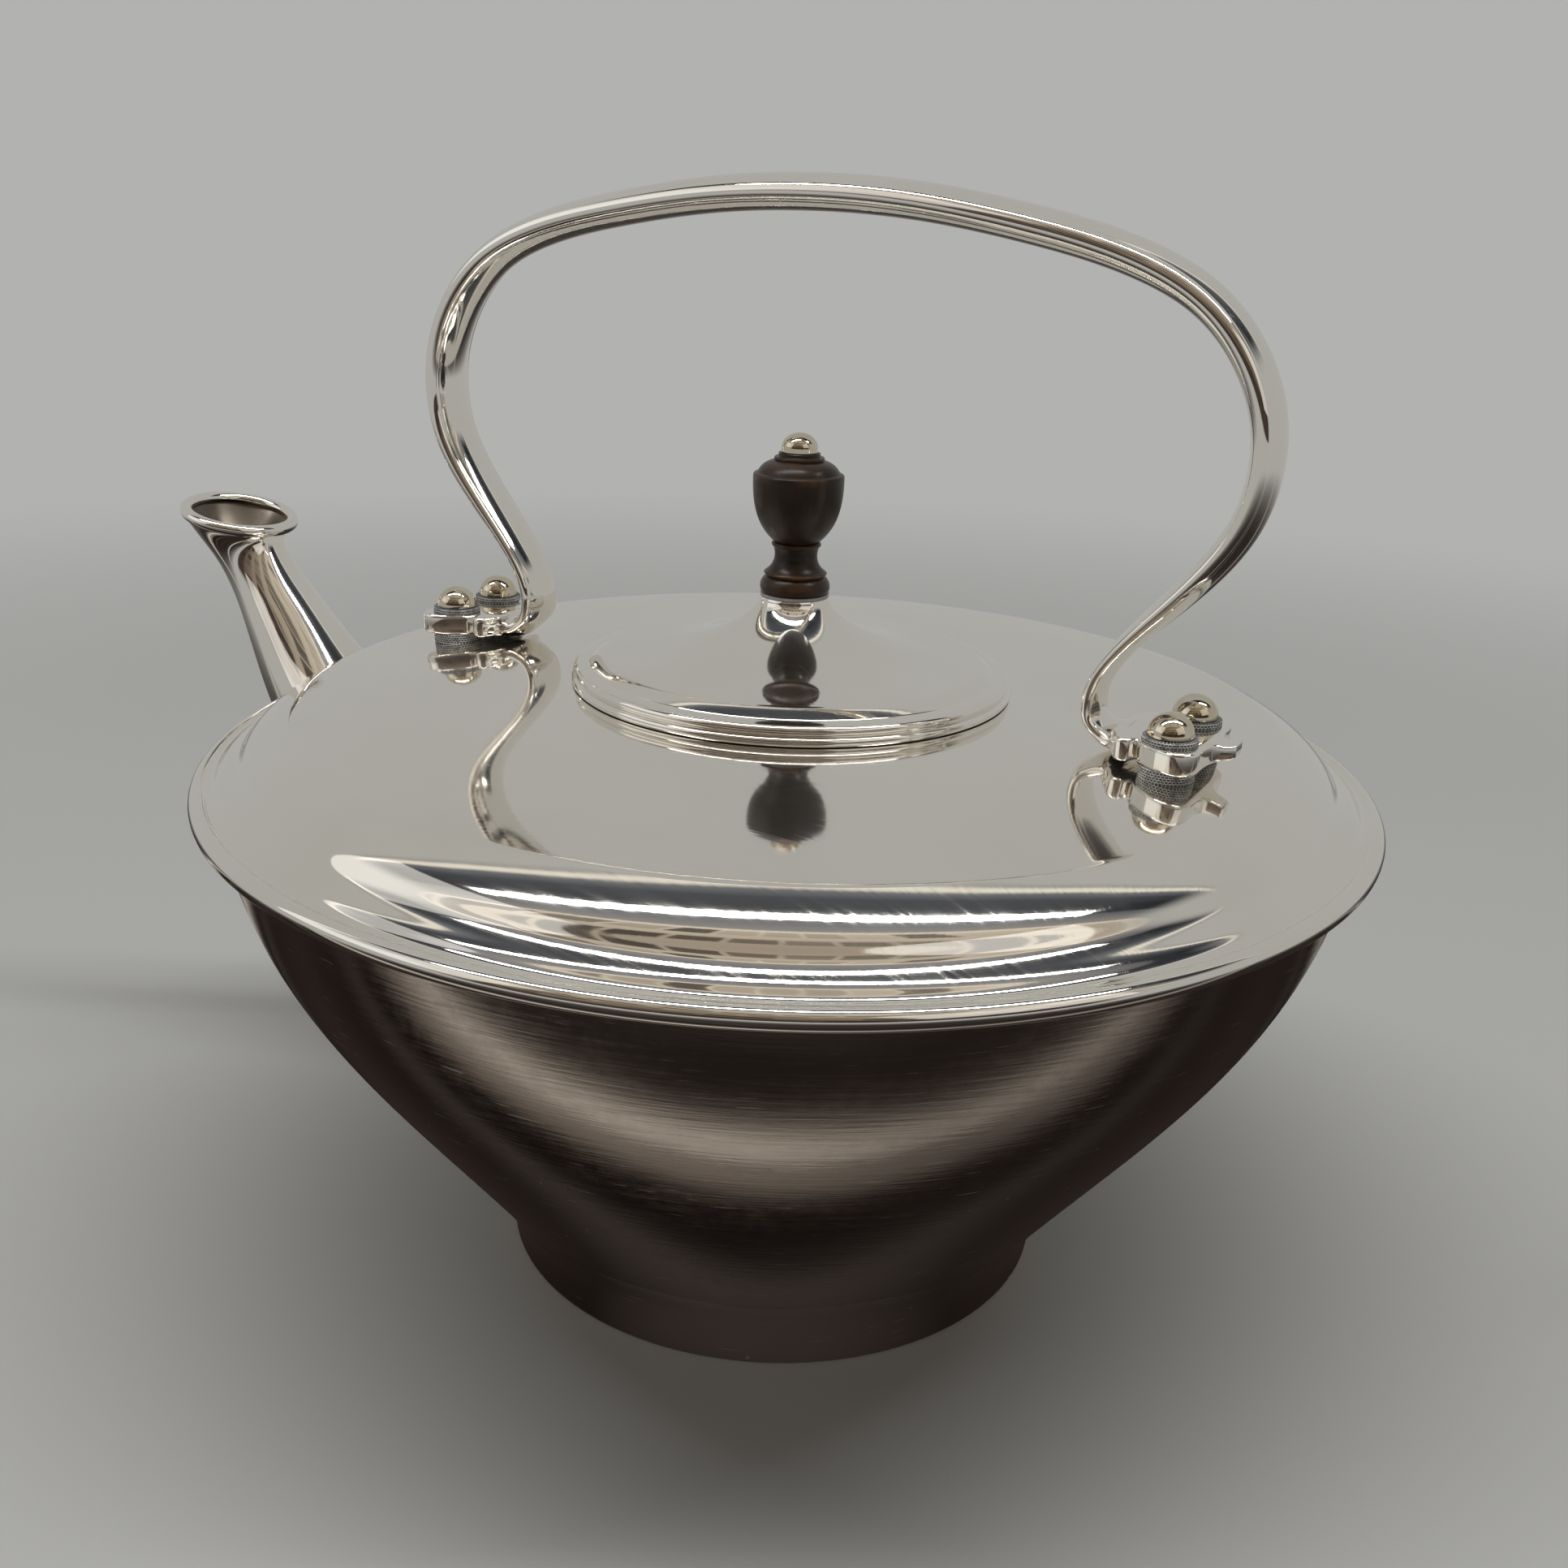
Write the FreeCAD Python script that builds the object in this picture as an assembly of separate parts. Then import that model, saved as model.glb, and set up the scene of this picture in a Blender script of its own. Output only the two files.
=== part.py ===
import FreeCAD, Part
import math
import os
from FreeCAD import Vector

# A teapot of kettle form in silver plate: a spun bowl on a foot ring, a domed shoulder with a beaded
# rim, a tapered spout, an arched handle bolted down on insulating washers, and a lift-off lid with a
# turned wooden knob.
# Millimetres. The origin is the middle of the foot on the table, +Z is up and the spout points to -X.

# Sheet metal and rim
sheet = 1.0
rim_radius = 105.0
rim_height = 93.2
bead_radius = 1.8
flange_step = 0.3
wall_inset = 4.0

# Bowl and foot, as radius and height of the joint between them; a pull is how far a curve leans
# along its end's direction
floor_radius = 40.0
floor_height = 8.5
joint_radius = 57.6
joint_height = 16.2
foot_radius = 51.2
foot_sheet = 1.4
floor_pull = 10.0
floor_joint_pull = 6.0
belly_joint_pull = 42.2
belly_rim_pull = 29.9
foot_pull = 8.3
foot_joint_pull = 4.4

# Shoulder: a shallow dome, then a roll and a small step down to the flange,
# each point as inset from the rim's radius and rise above the bead's centre
dome_rise = 4.4
shoulder_points = [(17.3, 12.1), (12.6, 10.4), (9.6, 7.4), (8.1, 5.1), (6.4, 3.75), (4.9, 2.75)]

# Strainer holes through the bowl's wall inside the spout's root
strainer_hole = 3.0
strainer_pitch = 5.2
strainer_drop = 22.5
strainer_inset = 5.0
strainer_slope = 31.0

# Spout stations: reach past the rim, rise above the bead, lean from the vertical, outer radius
spout_stations = [
    (-33.0, -29.2, 75.0, 17.0),
    (-4.5, -17.7, 52.0, 15.0),
    (13.6, -1.2, 38.0, 10.9),
    (21.8, 10.4, 36.0, 8.4),
    (28.0, 19.4, 31.0, 7.1),
    (31.4, 25.4, 14.0, 8.6),
    (32.8, 29.6, -6.0, 11.6),
]
spout_wall = 1.3
lip_radius = 1.3

# Handle feet and their bolts, measured from the pot's axis along and across the handle
bolt_reach = 72.4
bolt_spread = 6.4
stud_radius = 1.6
stud_clearance = 0.15
lobe_radius = 5.9
foot_plate = 3.9
neck_setback = 10.86
fan_length = 2.8
fan_margin = 0.1
collar_length = 2.6
collar_width = 18.0
collar_height = 4.6
web_width = 12.0
tip_length = 9.4
tip_width = 7.0
tip_plate = 2.8
tip_rise = 1.0
washer_radius = 4.5
lower_washer = 2.0
upper_washer = 1.0
dome_nut_radius = 3.75
dome_nut_height = 3.9
dome_nut_crown = 1.0
stud_nut_flats = 5.5
stud_nut_height = 2.6
stud_tail = 0.8

# Handle rod, a flattened bar: tangent arcs from a foot to the crown, its thickness and breadth at each
# joint, a reed along each edge, and how far the crown leans toward the front foot
bend_radius = 4.34
waist_radius = 14.5
leg_lean = 40.0
leg_length = 19.9
haunch_radius = 26.6
haunch_turn = 73.7
crown_radius = 32.4
crown_turn = 39.5
rod_thicks = [3.6, 3.5, 3.4, 4.7, 5.6, 6.0, 6.2]
rod_breadths = [9.4, 9.4, 9.4, 10.2, 10.4, 10.4, 10.4]
reed_rise = 0.06
reed_angle = 32.0
handle_lean = 1.8

# Lid, with heights above its resting edge
bezel_radius = 33.2
bezel_depth = 5.0
seat_depth = 6.0
seat_clearance = 0.35
lid_gap = 0.3
lid_overlap = 2.65
lid_edge_rise = 4.4
cone_inset = 10.2
cone_rise = 1.04
collar_radius = 6.2
collar_rise = 15.7
collar_pull = 2.5
cone_pull = 13.1
moulding_width = 2.4
moulding_reed = 0.9
moulding_step = 0.8
moulding_bulge = 0.25
moulding_cove = 0.35

# Knob: a disc, the turned wood, a through bolt with a domed head, a washer and a nut
disc_thickness = 0.5
disc_inset = 0.1
knob_height = 24.7
knob_radius = 8.0
knob_foot_radius = 6.2
knob_foot_height = 3.0
knob_foot_round = 0.3
knob_flare_radius = 5.6
knob_flare_height = 3.7
knob_neck_radius = 3.85
knob_neck_height = 8.3
knob_neck_swell = 0.2
knob_fillet_radius = 4.4
knob_fillet_height = 0.8
knob_fillet_round = 0.4
knob_cup_pull = 3.6
knob_side_pull = 5.2
knob_cap_height = 4.8
knob_edge_height = 1.0
knob_edge_step = 0.8
knob_cap_pull = 1.2
knob_button_radius = 4.35
knob_button_height = 1.4
knob_button_groove = 0.25
knob_button_step = 0.7
bolt_radius = 2.0
bolt_clearance = 0.15
bolt_head_radius = 3.2
bolt_head_height = 3.4
knob_washer_clearance = 0.8
knob_washer = 0.8
knob_nut_flats = 7.0
knob_nut_height = 3.0
bolt_tail = 0.8

# Values that follow from the sizes above
Z_AXIS = Vector(0, 0, 1)
ORIGIN = Vector(0, 0, 0)
wall_radius = rim_radius - wall_inset
bead_circle = rim_radius - bead_radius
flange_height = rim_height + bead_radius - flange_step
bowl_top = flange_height - sheet / 2
dome_radius = rim_radius - shoulder_points[0][0]
dome_height = rim_height + shoulder_points[0][1]
dome_sphere = (dome_radius ** 2 + dome_rise ** 2) / (2 * dome_rise)
mouth_radius = bezel_radius + seat_clearance + sheet
lid_radius = mouth_radius + lid_overlap
cone_radius = lid_radius - cone_inset
bolt_radius_out = math.hypot(bolt_reach, bolt_spread)


def dome_at(radius):
    """Height of the shoulder's dome at a radius."""
    return dome_height + dome_rise - dome_sphere + math.sqrt(dome_sphere ** 2 - radius ** 2)


plate_low = dome_at(bolt_radius_out) + lower_washer
plate_high = plate_low + foot_plate
rod_height = plate_low + foot_plate / 2
nut_seat = plate_high + upper_washer
lid_base = dome_at(lid_radius) + lid_gap
lid_edge = lid_base + lid_edge_rise
collar_top = lid_base + collar_rise
knob_base = collar_top + disc_thickness
knob_top = knob_base + knob_height
knob_washer_radius = collar_radius - sheet - knob_washer_clearance
cone_slope = cone_rise / (lid_radius - cone_radius)


# Shared geometry helpers

def at(radius, height):
    """A point of a turned outline."""
    return Vector(radius, 0, height)


def line(start, end):
    return Part.LineSegment(start, end).toShape()


def arc(start, middle, end):
    return Part.Arc(start, middle, end).toShape()


def bezier(start, leaving, leaving_pull, end, arriving, arriving_pull):
    """A cubic curve that leaves and arrives along two directions, with a pull length for each."""
    first = start + Vector(*leaving).normalize() * leaving_pull
    last = end - Vector(*arriving).normalize() * arriving_pull
    curve = Part.BezierCurve()
    curve.setPoles([start, first, last, end])
    return curve.toShape()


def turned(face):
    """Revolve a face of the XZ plane about the pot's axis."""
    return face.revolve(ORIGIN, Z_AXIS, 360)


def turned_outline(edges):
    """Revolve a closed outline."""
    return turned(Part.Face(Part.Wire(edges)))


def turned_ring(inner, outer, low, high):
    disc = Part.makeCylinder(outer, high - low, at(0, low))
    return disc.cut(Part.makeCylinder(inner, high - low, at(0, low)))


def beside(edge, distance):
    """The edge moved sideways: to its left for a distance above zero, seen with +X to the right."""
    first = edge.FirstParameter
    last = edge.LastParameter
    moved = Part.OffsetCurve(edge.Curve, distance, Vector(0, 1, 0)).toShape(first, last)
    points = [moved.valueAt(first + (last - first) * k / 16) for k in range(17)]
    if edge.Curve.TypeId == "Part::GeomLine":
        return line(points[0], points[-1])
    curve = Part.BSplineCurve()
    leaving = edge.tangentAt(first)
    arriving = edge.tangentAt(last)
    curve.interpolate(Points=points, InitialTangent=leaving, FinalTangent=arriving, Scale=False)
    return curve.toShape()


def turned_sheet(edges, thickness):
    """Revolve a sheet that runs along smoothly joined edges, with its thickness to their left."""
    others = [beside(edge, thickness) for edge in edges]
    start = line(others[0].Vertexes[0].Point, edges[0].Vertexes[0].Point)
    end = line(edges[-1].Vertexes[-1].Point, others[-1].Vertexes[-1].Point)
    return turned_outline(edges + [end] + others[::-1] + [start])


def chain(points):
    """Straight edges through the points in order."""
    return [line(start, end) for start, end in zip(points, points[1:])]


def dome(brim, rise):
    """A rounded cap's outline from its brim up to the axis."""
    return bezier(brim, (0, 0, 1), 0.6 * rise, at(0, brim.z + rise), (-1, 0, 0), 0.6 * brim.x)


def largest(shape):
    return max(shape.Solids, key=lambda solid: solid.Volume)


def lowest(shape):
    return min(shape.Solids, key=lambda solid: solid.CenterOfMass.z)


def at_bolts(make):
    """Four copies of a fastener, one per stud, from a function of its place."""
    places = [(side * bolt_reach, across * bolt_spread) for side in (1, -1) for across in (1, -1)]
    return Part.makeCompound([make(x, y) for x, y in places])


def post(x, y, low, high, radius):
    return Part.makeCylinder(radius, high - low, Vector(x, y, low))


def hexagon(flats, low, high):
    """A hexagonal prism on the axis."""
    corner = flats / math.sqrt(3)
    corners = [Vector(corner * math.cos(k * math.pi / 3), corner * math.sin(k * math.pi / 3), low)
               for k in range(7)]
    return Part.Face(Part.makePolygon(corners)).extrude(Vector(0, 0, high - low))


# Bowl, foot, shoulder and rim

def bowl_outline():
    """Outside of the bowl from the middle of its floor to the rim."""
    joint = at(joint_radius, joint_height)
    floor_edge = at(floor_radius, floor_height)
    uphill = (0.74, 0, 1)
    return [
        line(at(0, floor_height), floor_edge),
        bezier(floor_edge, (1, 0, 0), floor_pull, joint, uphill, floor_joint_pull),
        bezier(joint, uphill, belly_joint_pull, at(wall_radius, bowl_top), (0.12, 0, 1), belly_rim_pull),
    ]


def shoulder_outline():
    """Top side of the shoulder from the mouth outwards to the middle of the bead."""
    middle = (mouth_radius + dome_radius) / 2
    mouth_edge = at(mouth_radius, dome_at(mouth_radius))
    crown = arc(mouth_edge, at(middle, dome_at(middle)), at(dome_radius, dome_height))
    points = [at(rim_radius - inset, rim_height + rise) for inset, rise in shoulder_points]
    points.append(at(rim_radius - 2 * bead_radius, flange_height + 0.15))
    points.append(at(bead_circle, flange_height))
    slope = dome_radius / math.sqrt(dome_sphere ** 2 - dome_radius ** 2)
    moulding = Part.BSplineCurve()
    leaving = Vector(1, 0, -slope).normalize()
    moulding.interpolate(Points=points, InitialTangent=leaving, FinalTangent=Vector(1, 0, 0), Scale=False)
    return [crown, moulding.toShape()]


def make_shoulder():
    """The spun top plate, bored for the lid's seat ring and the four studs."""
    plate = turned_sheet(shoulder_outline(), -sheet)
    hole = stud_radius + stud_clearance
    plate = plate.cut(Part.makeCylinder(mouth_radius, 2 * rim_height))
    return plate.cut(at_bolts(lambda x, y: post(x, y, rim_height, plate_low, hole)))


def make_shoulder_block():
    """The shoulder filled solid down to the bead, used to seat what stands on it."""
    edges = shoulder_outline()
    start = edges[0].Vertexes[0].Point
    end = at(bead_circle, flange_height)
    closing = chain([end, at(bead_circle, rim_height), at(0, rim_height), at(0, start.z), start])
    return turned_outline(edges + closing)


def make_bowl_block():
    """The bowl filled solid to its edge."""
    closing = chain([at(wall_radius, bowl_top), at(0, bowl_top), at(0, floor_height)])
    return turned_outline(bowl_outline() + closing)


def strainer_drills():
    """Rods square to the wall at the spout's root: one in the middle and two rings round it."""
    length = 6 * strainer_pitch
    rods = []
    for ring, count in ((0, 1), (1, 6), (2, 12)):
        for k in range(count):
            turn = 2 * math.pi * k / count
            foot = Vector(math.cos(turn), math.sin(turn), 0) * (ring * strainer_pitch)
            rods.append(Part.makeCylinder(strainer_hole / 2, length, foot - Z_AXIS * (length / 2)))
    grid = Part.makeCompound(rods)
    grid.rotate(ORIGIN, Vector(0, 1, 0), -90 - strainer_slope)
    grid.translate(Vector(strainer_inset - wall_radius, 0, rim_height - strainer_drop))
    return grid


def make_bowl(shoulder):
    """The spun vessel, its edge set up under the shoulder's flange and pierced behind the spout."""
    bowl = turned_sheet(bowl_outline(), sheet)
    return largest(bowl.cut(shoulder))


def make_foot(bowl_block):
    """The spun foot ring, soldered under the bowl."""
    joint = at(joint_radius, joint_height)
    outside = bezier(at(foot_radius, 0), (0, 0, 1), foot_pull, joint, (0.55, 0, 1), foot_joint_pull)
    return largest(turned_sheet([outside], foot_sheet).cut(bowl_block))


def make_bead():
    """The wire round the rim."""
    return Part.makeTorus(bead_circle, bead_radius, at(0, rim_height))


# Spout

def spout_ring(station, radius):
    """A circle across the spout, leaning with it."""
    reach, rise, lean, _ = station
    ring = Part.Wire(Part.Circle(ORIGIN, Z_AXIS, radius).toShape())
    ring.rotate(ORIGIN, Vector(0, 1, 0), -lean)
    ring.translate(Vector(-rim_radius - reach, 0, rim_height + rise))
    return ring


def make_spout(bowl_block, shoulder_block, bead):
    """The tapered tube with its trumpet mouth, cut to lie against the bowl and the rim."""
    outside = Part.makeLoft([spout_ring(s, s[3]) for s in spout_stations], True)
    bore = Part.makeLoft([spout_ring(s, s[3] - spout_wall) for s in spout_stations], True)
    return largest(outside.cut(bore).cut(bowl_block).cut(shoulder_block).cut(bead))


def make_spout_lip(spout):
    """The wire round the mouth of the spout, grooved over the tube's end."""
    reach, rise, lean, radius = spout_stations[-1]
    lip = Part.makeTorus(radius - spout_wall / 2, lip_radius, Vector(0, 0, lip_radius / 2))
    lip.rotate(ORIGIN, Vector(0, 1, 0), -lean)
    lip.translate(Vector(-rim_radius - reach, 0, rim_height + rise))
    return largest(lip.cut(spout))


# Handle

def handle_stations():
    """Places along half the handle, from a foot to the crown: reach, height, heading, thickness, breadth."""
    turns = [(bend_radius, -90.0, 4), (waist_radius, -leg_lean, 3), (leg_length, 0.0, 3),
             (haunch_radius, haunch_turn, 7), (crown_radius, crown_turn, 4)]
    reach = bolt_reach - neck_setback
    height = rod_height
    heading = 180.0
    sizes = list(zip(rod_thicks, rod_breadths))
    stations = [(reach, height, heading) + sizes[0]]
    for index, (size, turn, count) in enumerate(turns):
        ends = sizes[index:index + 2]
        reach, height, heading = follow(stations, reach, height, heading, size, turn, count, ends)
    rest = 180.0 - heading
    top_radius = reach / math.sin(math.radians(rest))
    follow(stations, reach, height, heading, top_radius, rest, 5, sizes[5:7])
    return stations


def follow(stations, reach, height, heading, size, turn, count, ends):
    """Walk a straight of length size, or an arc of radius size, and note count stations on the way."""
    for step in range(1, count + 1):
        part = step / count
        now = heading + turn * part
        if turn:
            side = math.copysign(size, turn)
            x = reach + side * (math.sin(math.radians(now)) - math.sin(math.radians(heading)))
            z = height - side * (math.cos(math.radians(now)) - math.cos(math.radians(heading)))
        else:
            x = reach + size * part * math.cos(math.radians(heading))
            z = height + size * part * math.sin(math.radians(heading))
        thick, broad = (start + (end - start) * part for start, end in zip(*ends))
        stations.append((x, z, now, thick, broad))
    return x, z, now


def rod_section(station):
    """A flattened section with two bulging faces and a raised reed along each edge."""
    reach, height, heading, thick, broad = station
    across = Vector(-math.sin(math.radians(heading)), 0, math.cos(math.radians(heading)))
    centre = Vector(reach, 0, height)

    def place(u, v):
        return centre + across * (u * thick / 2) + Vector(0, v * broad / 2, 0)

    u = math.sin(math.radians(reed_angle))
    v = math.cos(math.radians(reed_angle))
    side = 1 + reed_rise
    return Part.Wire([
        arc(place(u, v), place(1, 0), place(u, -v)),
        arc(place(u, -v), place(0, -side), place(-u, -v)),
        arc(place(-u, -v), place(-1, 0), place(-u, v)),
        arc(place(-u, v), place(0, side), place(u, v)),
    ])


def make_handle():
    """The bent rod, the same on both sides of the crown but for its lean."""
    half = handle_stations()
    other = [(-x, z, 360.0 - heading, *sizes) for x, z, heading, *sizes in reversed(half[:-1])]
    slant = handle_lean / (half[-1][1] - rod_height)
    leaning = [(x + slant * (z - rod_height), z, *rest) for x, z, *rest in half + other]
    return Part.makeLoft([rod_section(station) for station in leaning], True)


def make_handle_foot(side):
    """A cast foot: a fan from the rod's end to a wide collar, two bolt lobes and a square tip."""
    neck = bolt_reach - neck_setback
    fan_end = neck + fan_length
    narrow = rod_breadths[0] / 2 * (1 + reed_rise) + fan_margin
    wide = collar_width / 2
    low = rod_height - collar_height / 2
    corners = [Vector(neck, -narrow, low), Vector(fan_end, -wide, low), Vector(fan_end, wide, low),
               Vector(neck, narrow, low), Vector(neck, -narrow, low)]
    fan = Part.Face(Part.makePolygon(corners)).extrude(Z_AXIS * collar_height)
    collar = Part.makeBox(collar_length, collar_width, collar_height, Vector(fan_end, -wide, low))
    body = Part.makeBox(bolt_reach - fan_end, web_width, foot_plate,
                        Vector(fan_end, -web_width / 2, plate_low))
    tip = Part.makeBox(tip_length, tip_width, tip_plate,
                       Vector(bolt_reach, -tip_width / 2, plate_low + tip_rise))
    lobes = [post(bolt_reach, across * bolt_spread, plate_low, plate_high, lobe_radius) for across in (1, -1)]
    foot = collar.multiFuse([fan, body, tip] + lobes).removeSplitter()
    hole = stud_radius + stud_clearance
    for across in (1, -1):
        foot = foot.cut(post(bolt_reach, across * bolt_spread, plate_low, plate_high, hole))
    if side < 0:
        foot.rotate(ORIGIN, Z_AXIS, 180)
    return foot


def make_lower_washers(shoulder_block):
    """Insulating spacers between the shoulder and the handle's feet."""
    def washer(x, y):
        ring = post(x, y, plate_low - 2 * lower_washer, plate_low, washer_radius)
        ring = ring.cut(post(x, y, rim_height, plate_low, stud_radius + stud_clearance))
        return largest(ring.cut(shoulder_block))
    return at_bolts(washer)


def make_upper_washers():
    """Insulating rings under the domed nuts."""
    def washer(x, y):
        ring = post(x, y, plate_high, nut_seat, washer_radius)
        return ring.cut(post(x, y, plate_high, nut_seat, stud_radius + stud_clearance))
    return at_bolts(washer)


def make_dome_nuts():
    """Domed cap nuts, blind from below."""
    bore = stud_radius + stud_clearance
    depth = dome_nut_height - dome_nut_crown
    brim = at(dome_nut_radius, 0)
    edges = chain([at(0, dome_nut_height), at(0, depth), at(bore, depth), at(bore, 0), brim])
    nut = turned_outline(edges + [dome(brim, dome_nut_height)])

    def placed(x, y):
        copy = nut.copy()
        copy.translate(Vector(x, y, nut_seat))
        return copy
    return at_bolts(placed)


def make_stud_nuts(shoulder):
    """Plain nuts drawn up against the underside of the shoulder."""
    under = dome_at(bolt_radius_out) - sheet
    blank = hexagon(stud_nut_flats, under - stud_nut_height, under + sheet)

    def placed(x, y):
        nut = blank.copy()
        nut.translate(Vector(x, y, 0))
        nut = nut.cut(post(x, y, 0, plate_low, stud_radius + stud_clearance))
        return lowest(nut.cut(shoulder))
    return at_bolts(placed)


def make_studs():
    """Threaded rods from the inner nuts up into the domed nuts."""
    low = dome_at(bolt_radius_out) - sheet - stud_nut_height - stud_tail
    high = nut_seat + dome_nut_height - dome_nut_crown
    return at_bolts(lambda x, y: post(x, y, low, high, stud_radius))


# Lid

def lid_under(radius):
    """Underside of the lid's cone."""
    slant = math.hypot(1, cone_slope)
    return lid_edge + cone_slope * (lid_radius - radius) - sheet * slant


def make_lid_shell():
    """The spun cap: a flat collar for the knob, a concave flare, a shallow cone and a turned-down edge."""
    hole = bolt_radius + bolt_clearance
    cone_foot = at(cone_radius, lid_edge + cone_rise)
    edge = at(lid_radius - 1.5 * sheet, lid_edge + 1.5 * sheet * cone_slope)
    turn_end = at(lid_radius, lid_edge - 2 * sheet)
    downhill = (1, 0, -cone_slope)
    outline = [
        bezier(at(collar_radius, collar_top), (0.05, 0, -1), collar_pull, cone_foot, downhill, cone_pull),
        line(cone_foot, edge),
        bezier(edge, downhill, sheet, turn_end, (0, 0, -1), sheet),
        line(turn_end, at(lid_radius, lid_base)),
    ]
    top = turned_ring(hole, collar_radius, collar_top - sheet, collar_top)
    return turned_sheet(outline, -sheet).fuse(top).removeSplitter()


def make_lid_moulding():
    """The wire round the lid's edge: two stepped reeds and a cove up to the riser."""
    def up(radius, height):
        return at(radius, lid_base + height)
    outer = lid_radius + moulding_width
    outer_edge = outer - moulding_bulge
    second = outer - moulding_step
    second_edge = second - moulding_bulge
    top = 2 * moulding_reed
    run = second_edge - lid_radius
    edges = [
        line(up(lid_radius, 0), up(outer_edge, 0)),
        arc(up(outer_edge, 0), up(outer, moulding_reed / 2), up(outer_edge, moulding_reed)),
        line(up(outer_edge, moulding_reed), up(second_edge, moulding_reed)),
        arc(up(second_edge, moulding_reed), up(second, 1.5 * moulding_reed), up(second_edge, top)),
        bezier(up(second_edge, top), (-1, 0, 0), run / 2, up(lid_radius, top + moulding_cove), (0, 0, 1),
               moulding_cove / 2),
        line(up(lid_radius, top + moulding_cove), up(lid_radius, 0)),
    ]
    return turned_outline(edges)


def make_lid_bezel():
    """The ring under the lid that drops into the mouth."""
    inner = bezel_radius - sheet
    low = lid_base - bezel_depth
    corners = [at(inner, low), at(bezel_radius, low), at(bezel_radius, lid_under(bezel_radius)),
               at(inner, lid_under(inner)), at(inner, low)]
    return turned_outline(chain(corners))


def make_seat_ring():
    """The collar soldered into the mouth, round the lid's bezel."""
    high = dome_at(mouth_radius)
    return turned_ring(mouth_radius - sheet, mouth_radius, high - seat_depth, high)


# Knob

def make_knob():
    """The turned baluster: round foot, flared neck, fillet, cup and stepped cap, bored for its bolt."""
    def up(radius, height):
        return at(radius, knob_base + height)
    bore = bolt_radius + bolt_clearance
    foot_edge = up(knob_foot_radius - knob_foot_round, 0)
    foot_end = up(knob_flare_radius - knob_foot_round, knob_foot_height)
    flare = up(knob_flare_radius, knob_flare_height)
    neck_middle = (knob_flare_height + knob_neck_height) / 2
    neck_end = up(knob_neck_radius + knob_neck_swell, knob_neck_height)
    fillet_side = up(knob_fillet_radius, knob_neck_height + knob_fillet_height / 2)
    fillet_end = up(knob_fillet_radius - knob_fillet_round, knob_neck_height + knob_fillet_height)
    widest = up(knob_radius, knob_height - knob_cap_height)
    edge = up(knob_radius, knob_height - knob_cap_height + knob_edge_height)
    cap_start = edge + Vector(-knob_edge_step, 0, knob_edge_step / 2)
    button = up(knob_button_radius, knob_height - knob_button_height)
    groove = button + Vector(knob_button_groove, 0, 0)
    step = button - Vector(knob_button_step, 0, 0)
    edges = [
        line(up(bore, 0), foot_edge),
        arc(foot_edge, up(knob_foot_radius, knob_foot_height / 2), foot_end),
        line(foot_end, flare),
        arc(flare, up(knob_neck_radius, neck_middle), neck_end),
        arc(neck_end, fillet_side, fillet_end),
        bezier(fillet_end, (1, 0, 0.85), knob_cup_pull, widest, (0, 0, 1), knob_side_pull),
        line(widest, edge),
        line(edge, cap_start),
        bezier(cap_start, (-0.55, 0, 1), knob_cap_pull, groove, (-1, 0, 0.3), knob_cap_pull),
    ]
    ledge = Vector(0, 0, knob_button_height / 2)
    top = [groove, button, button + ledge, step + ledge, step + ledge * 2, up(bore, knob_height), up(bore, 0)]
    return turned_outline(edges + chain(top))


def make_knob_disc():
    return turned_ring(bolt_radius + bolt_clearance, collar_radius - disc_inset, collar_top, knob_base)


def make_knob_bolt():
    """A plain shank under a domed head."""
    low = collar_top - sheet - knob_washer - knob_nut_height - bolt_tail
    brim = at(bolt_head_radius, knob_top)
    crown = at(0, knob_top + bolt_head_height)
    edges = chain([crown, at(0, low), at(bolt_radius, low), at(bolt_radius, knob_top), brim])
    return turned_outline(edges + [dome(brim, bolt_head_height)])


def make_knob_washer():
    high = collar_top - sheet
    return turned_ring(bolt_radius + bolt_clearance, knob_washer_radius, high - knob_washer, high)


def make_knob_nut():
    high = collar_top - sheet - knob_washer
    nut = hexagon(knob_nut_flats, high - knob_nut_height, high)
    return nut.cut(post(0, 0, high - knob_nut_height, high, bolt_radius + bolt_clearance))


# Assembly: pieces that meet are cut against each other, so that they touch face to face

shoulder_piece = make_shoulder()
shoulder_fill = make_shoulder_block()
bowl_fill = make_bowl_block()
bead_piece = make_bead()
bowl_piece = make_bowl(shoulder_piece).cut(strainer_drills())
spout_piece = make_spout(bowl_fill, shoulder_fill, bead_piece)

pieces = {
    "bowl": bowl_piece,
    "foot_ring": make_foot(bowl_fill),
    "shoulder": shoulder_piece,
    "rim_bead": largest(bead_piece.cut(shoulder_piece).cut(bowl_piece)),
    "lid_seat_ring": make_seat_ring(),
    "spout": spout_piece,
    "spout_lip": make_spout_lip(spout_piece),
    "handle_rod": make_handle(),
    "handle_foot_front": make_handle_foot(1),
    "handle_foot_spout": make_handle_foot(-1),
    "lower_washers": make_lower_washers(shoulder_fill),
    "upper_washers": make_upper_washers(),
    "dome_nuts": make_dome_nuts(),
    "handle_studs": make_studs(),
    "stud_nuts": make_stud_nuts(shoulder_piece),
    "lid_shell": make_lid_shell(),
    "lid_moulding": make_lid_moulding(),
    "lid_bezel": make_lid_bezel(),
    "knob_disc": make_knob_disc(),
    "knob_wood": make_knob(),
    "knob_bolt": make_knob_bolt(),
    "knob_washer": make_knob_washer(),
    "knob_nut": make_knob_nut(),
}

os.makedirs("parts", exist_ok=True)
for name, shape in pieces.items():
    shape.exportStep("parts/" + name + ".step")
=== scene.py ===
import math

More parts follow.
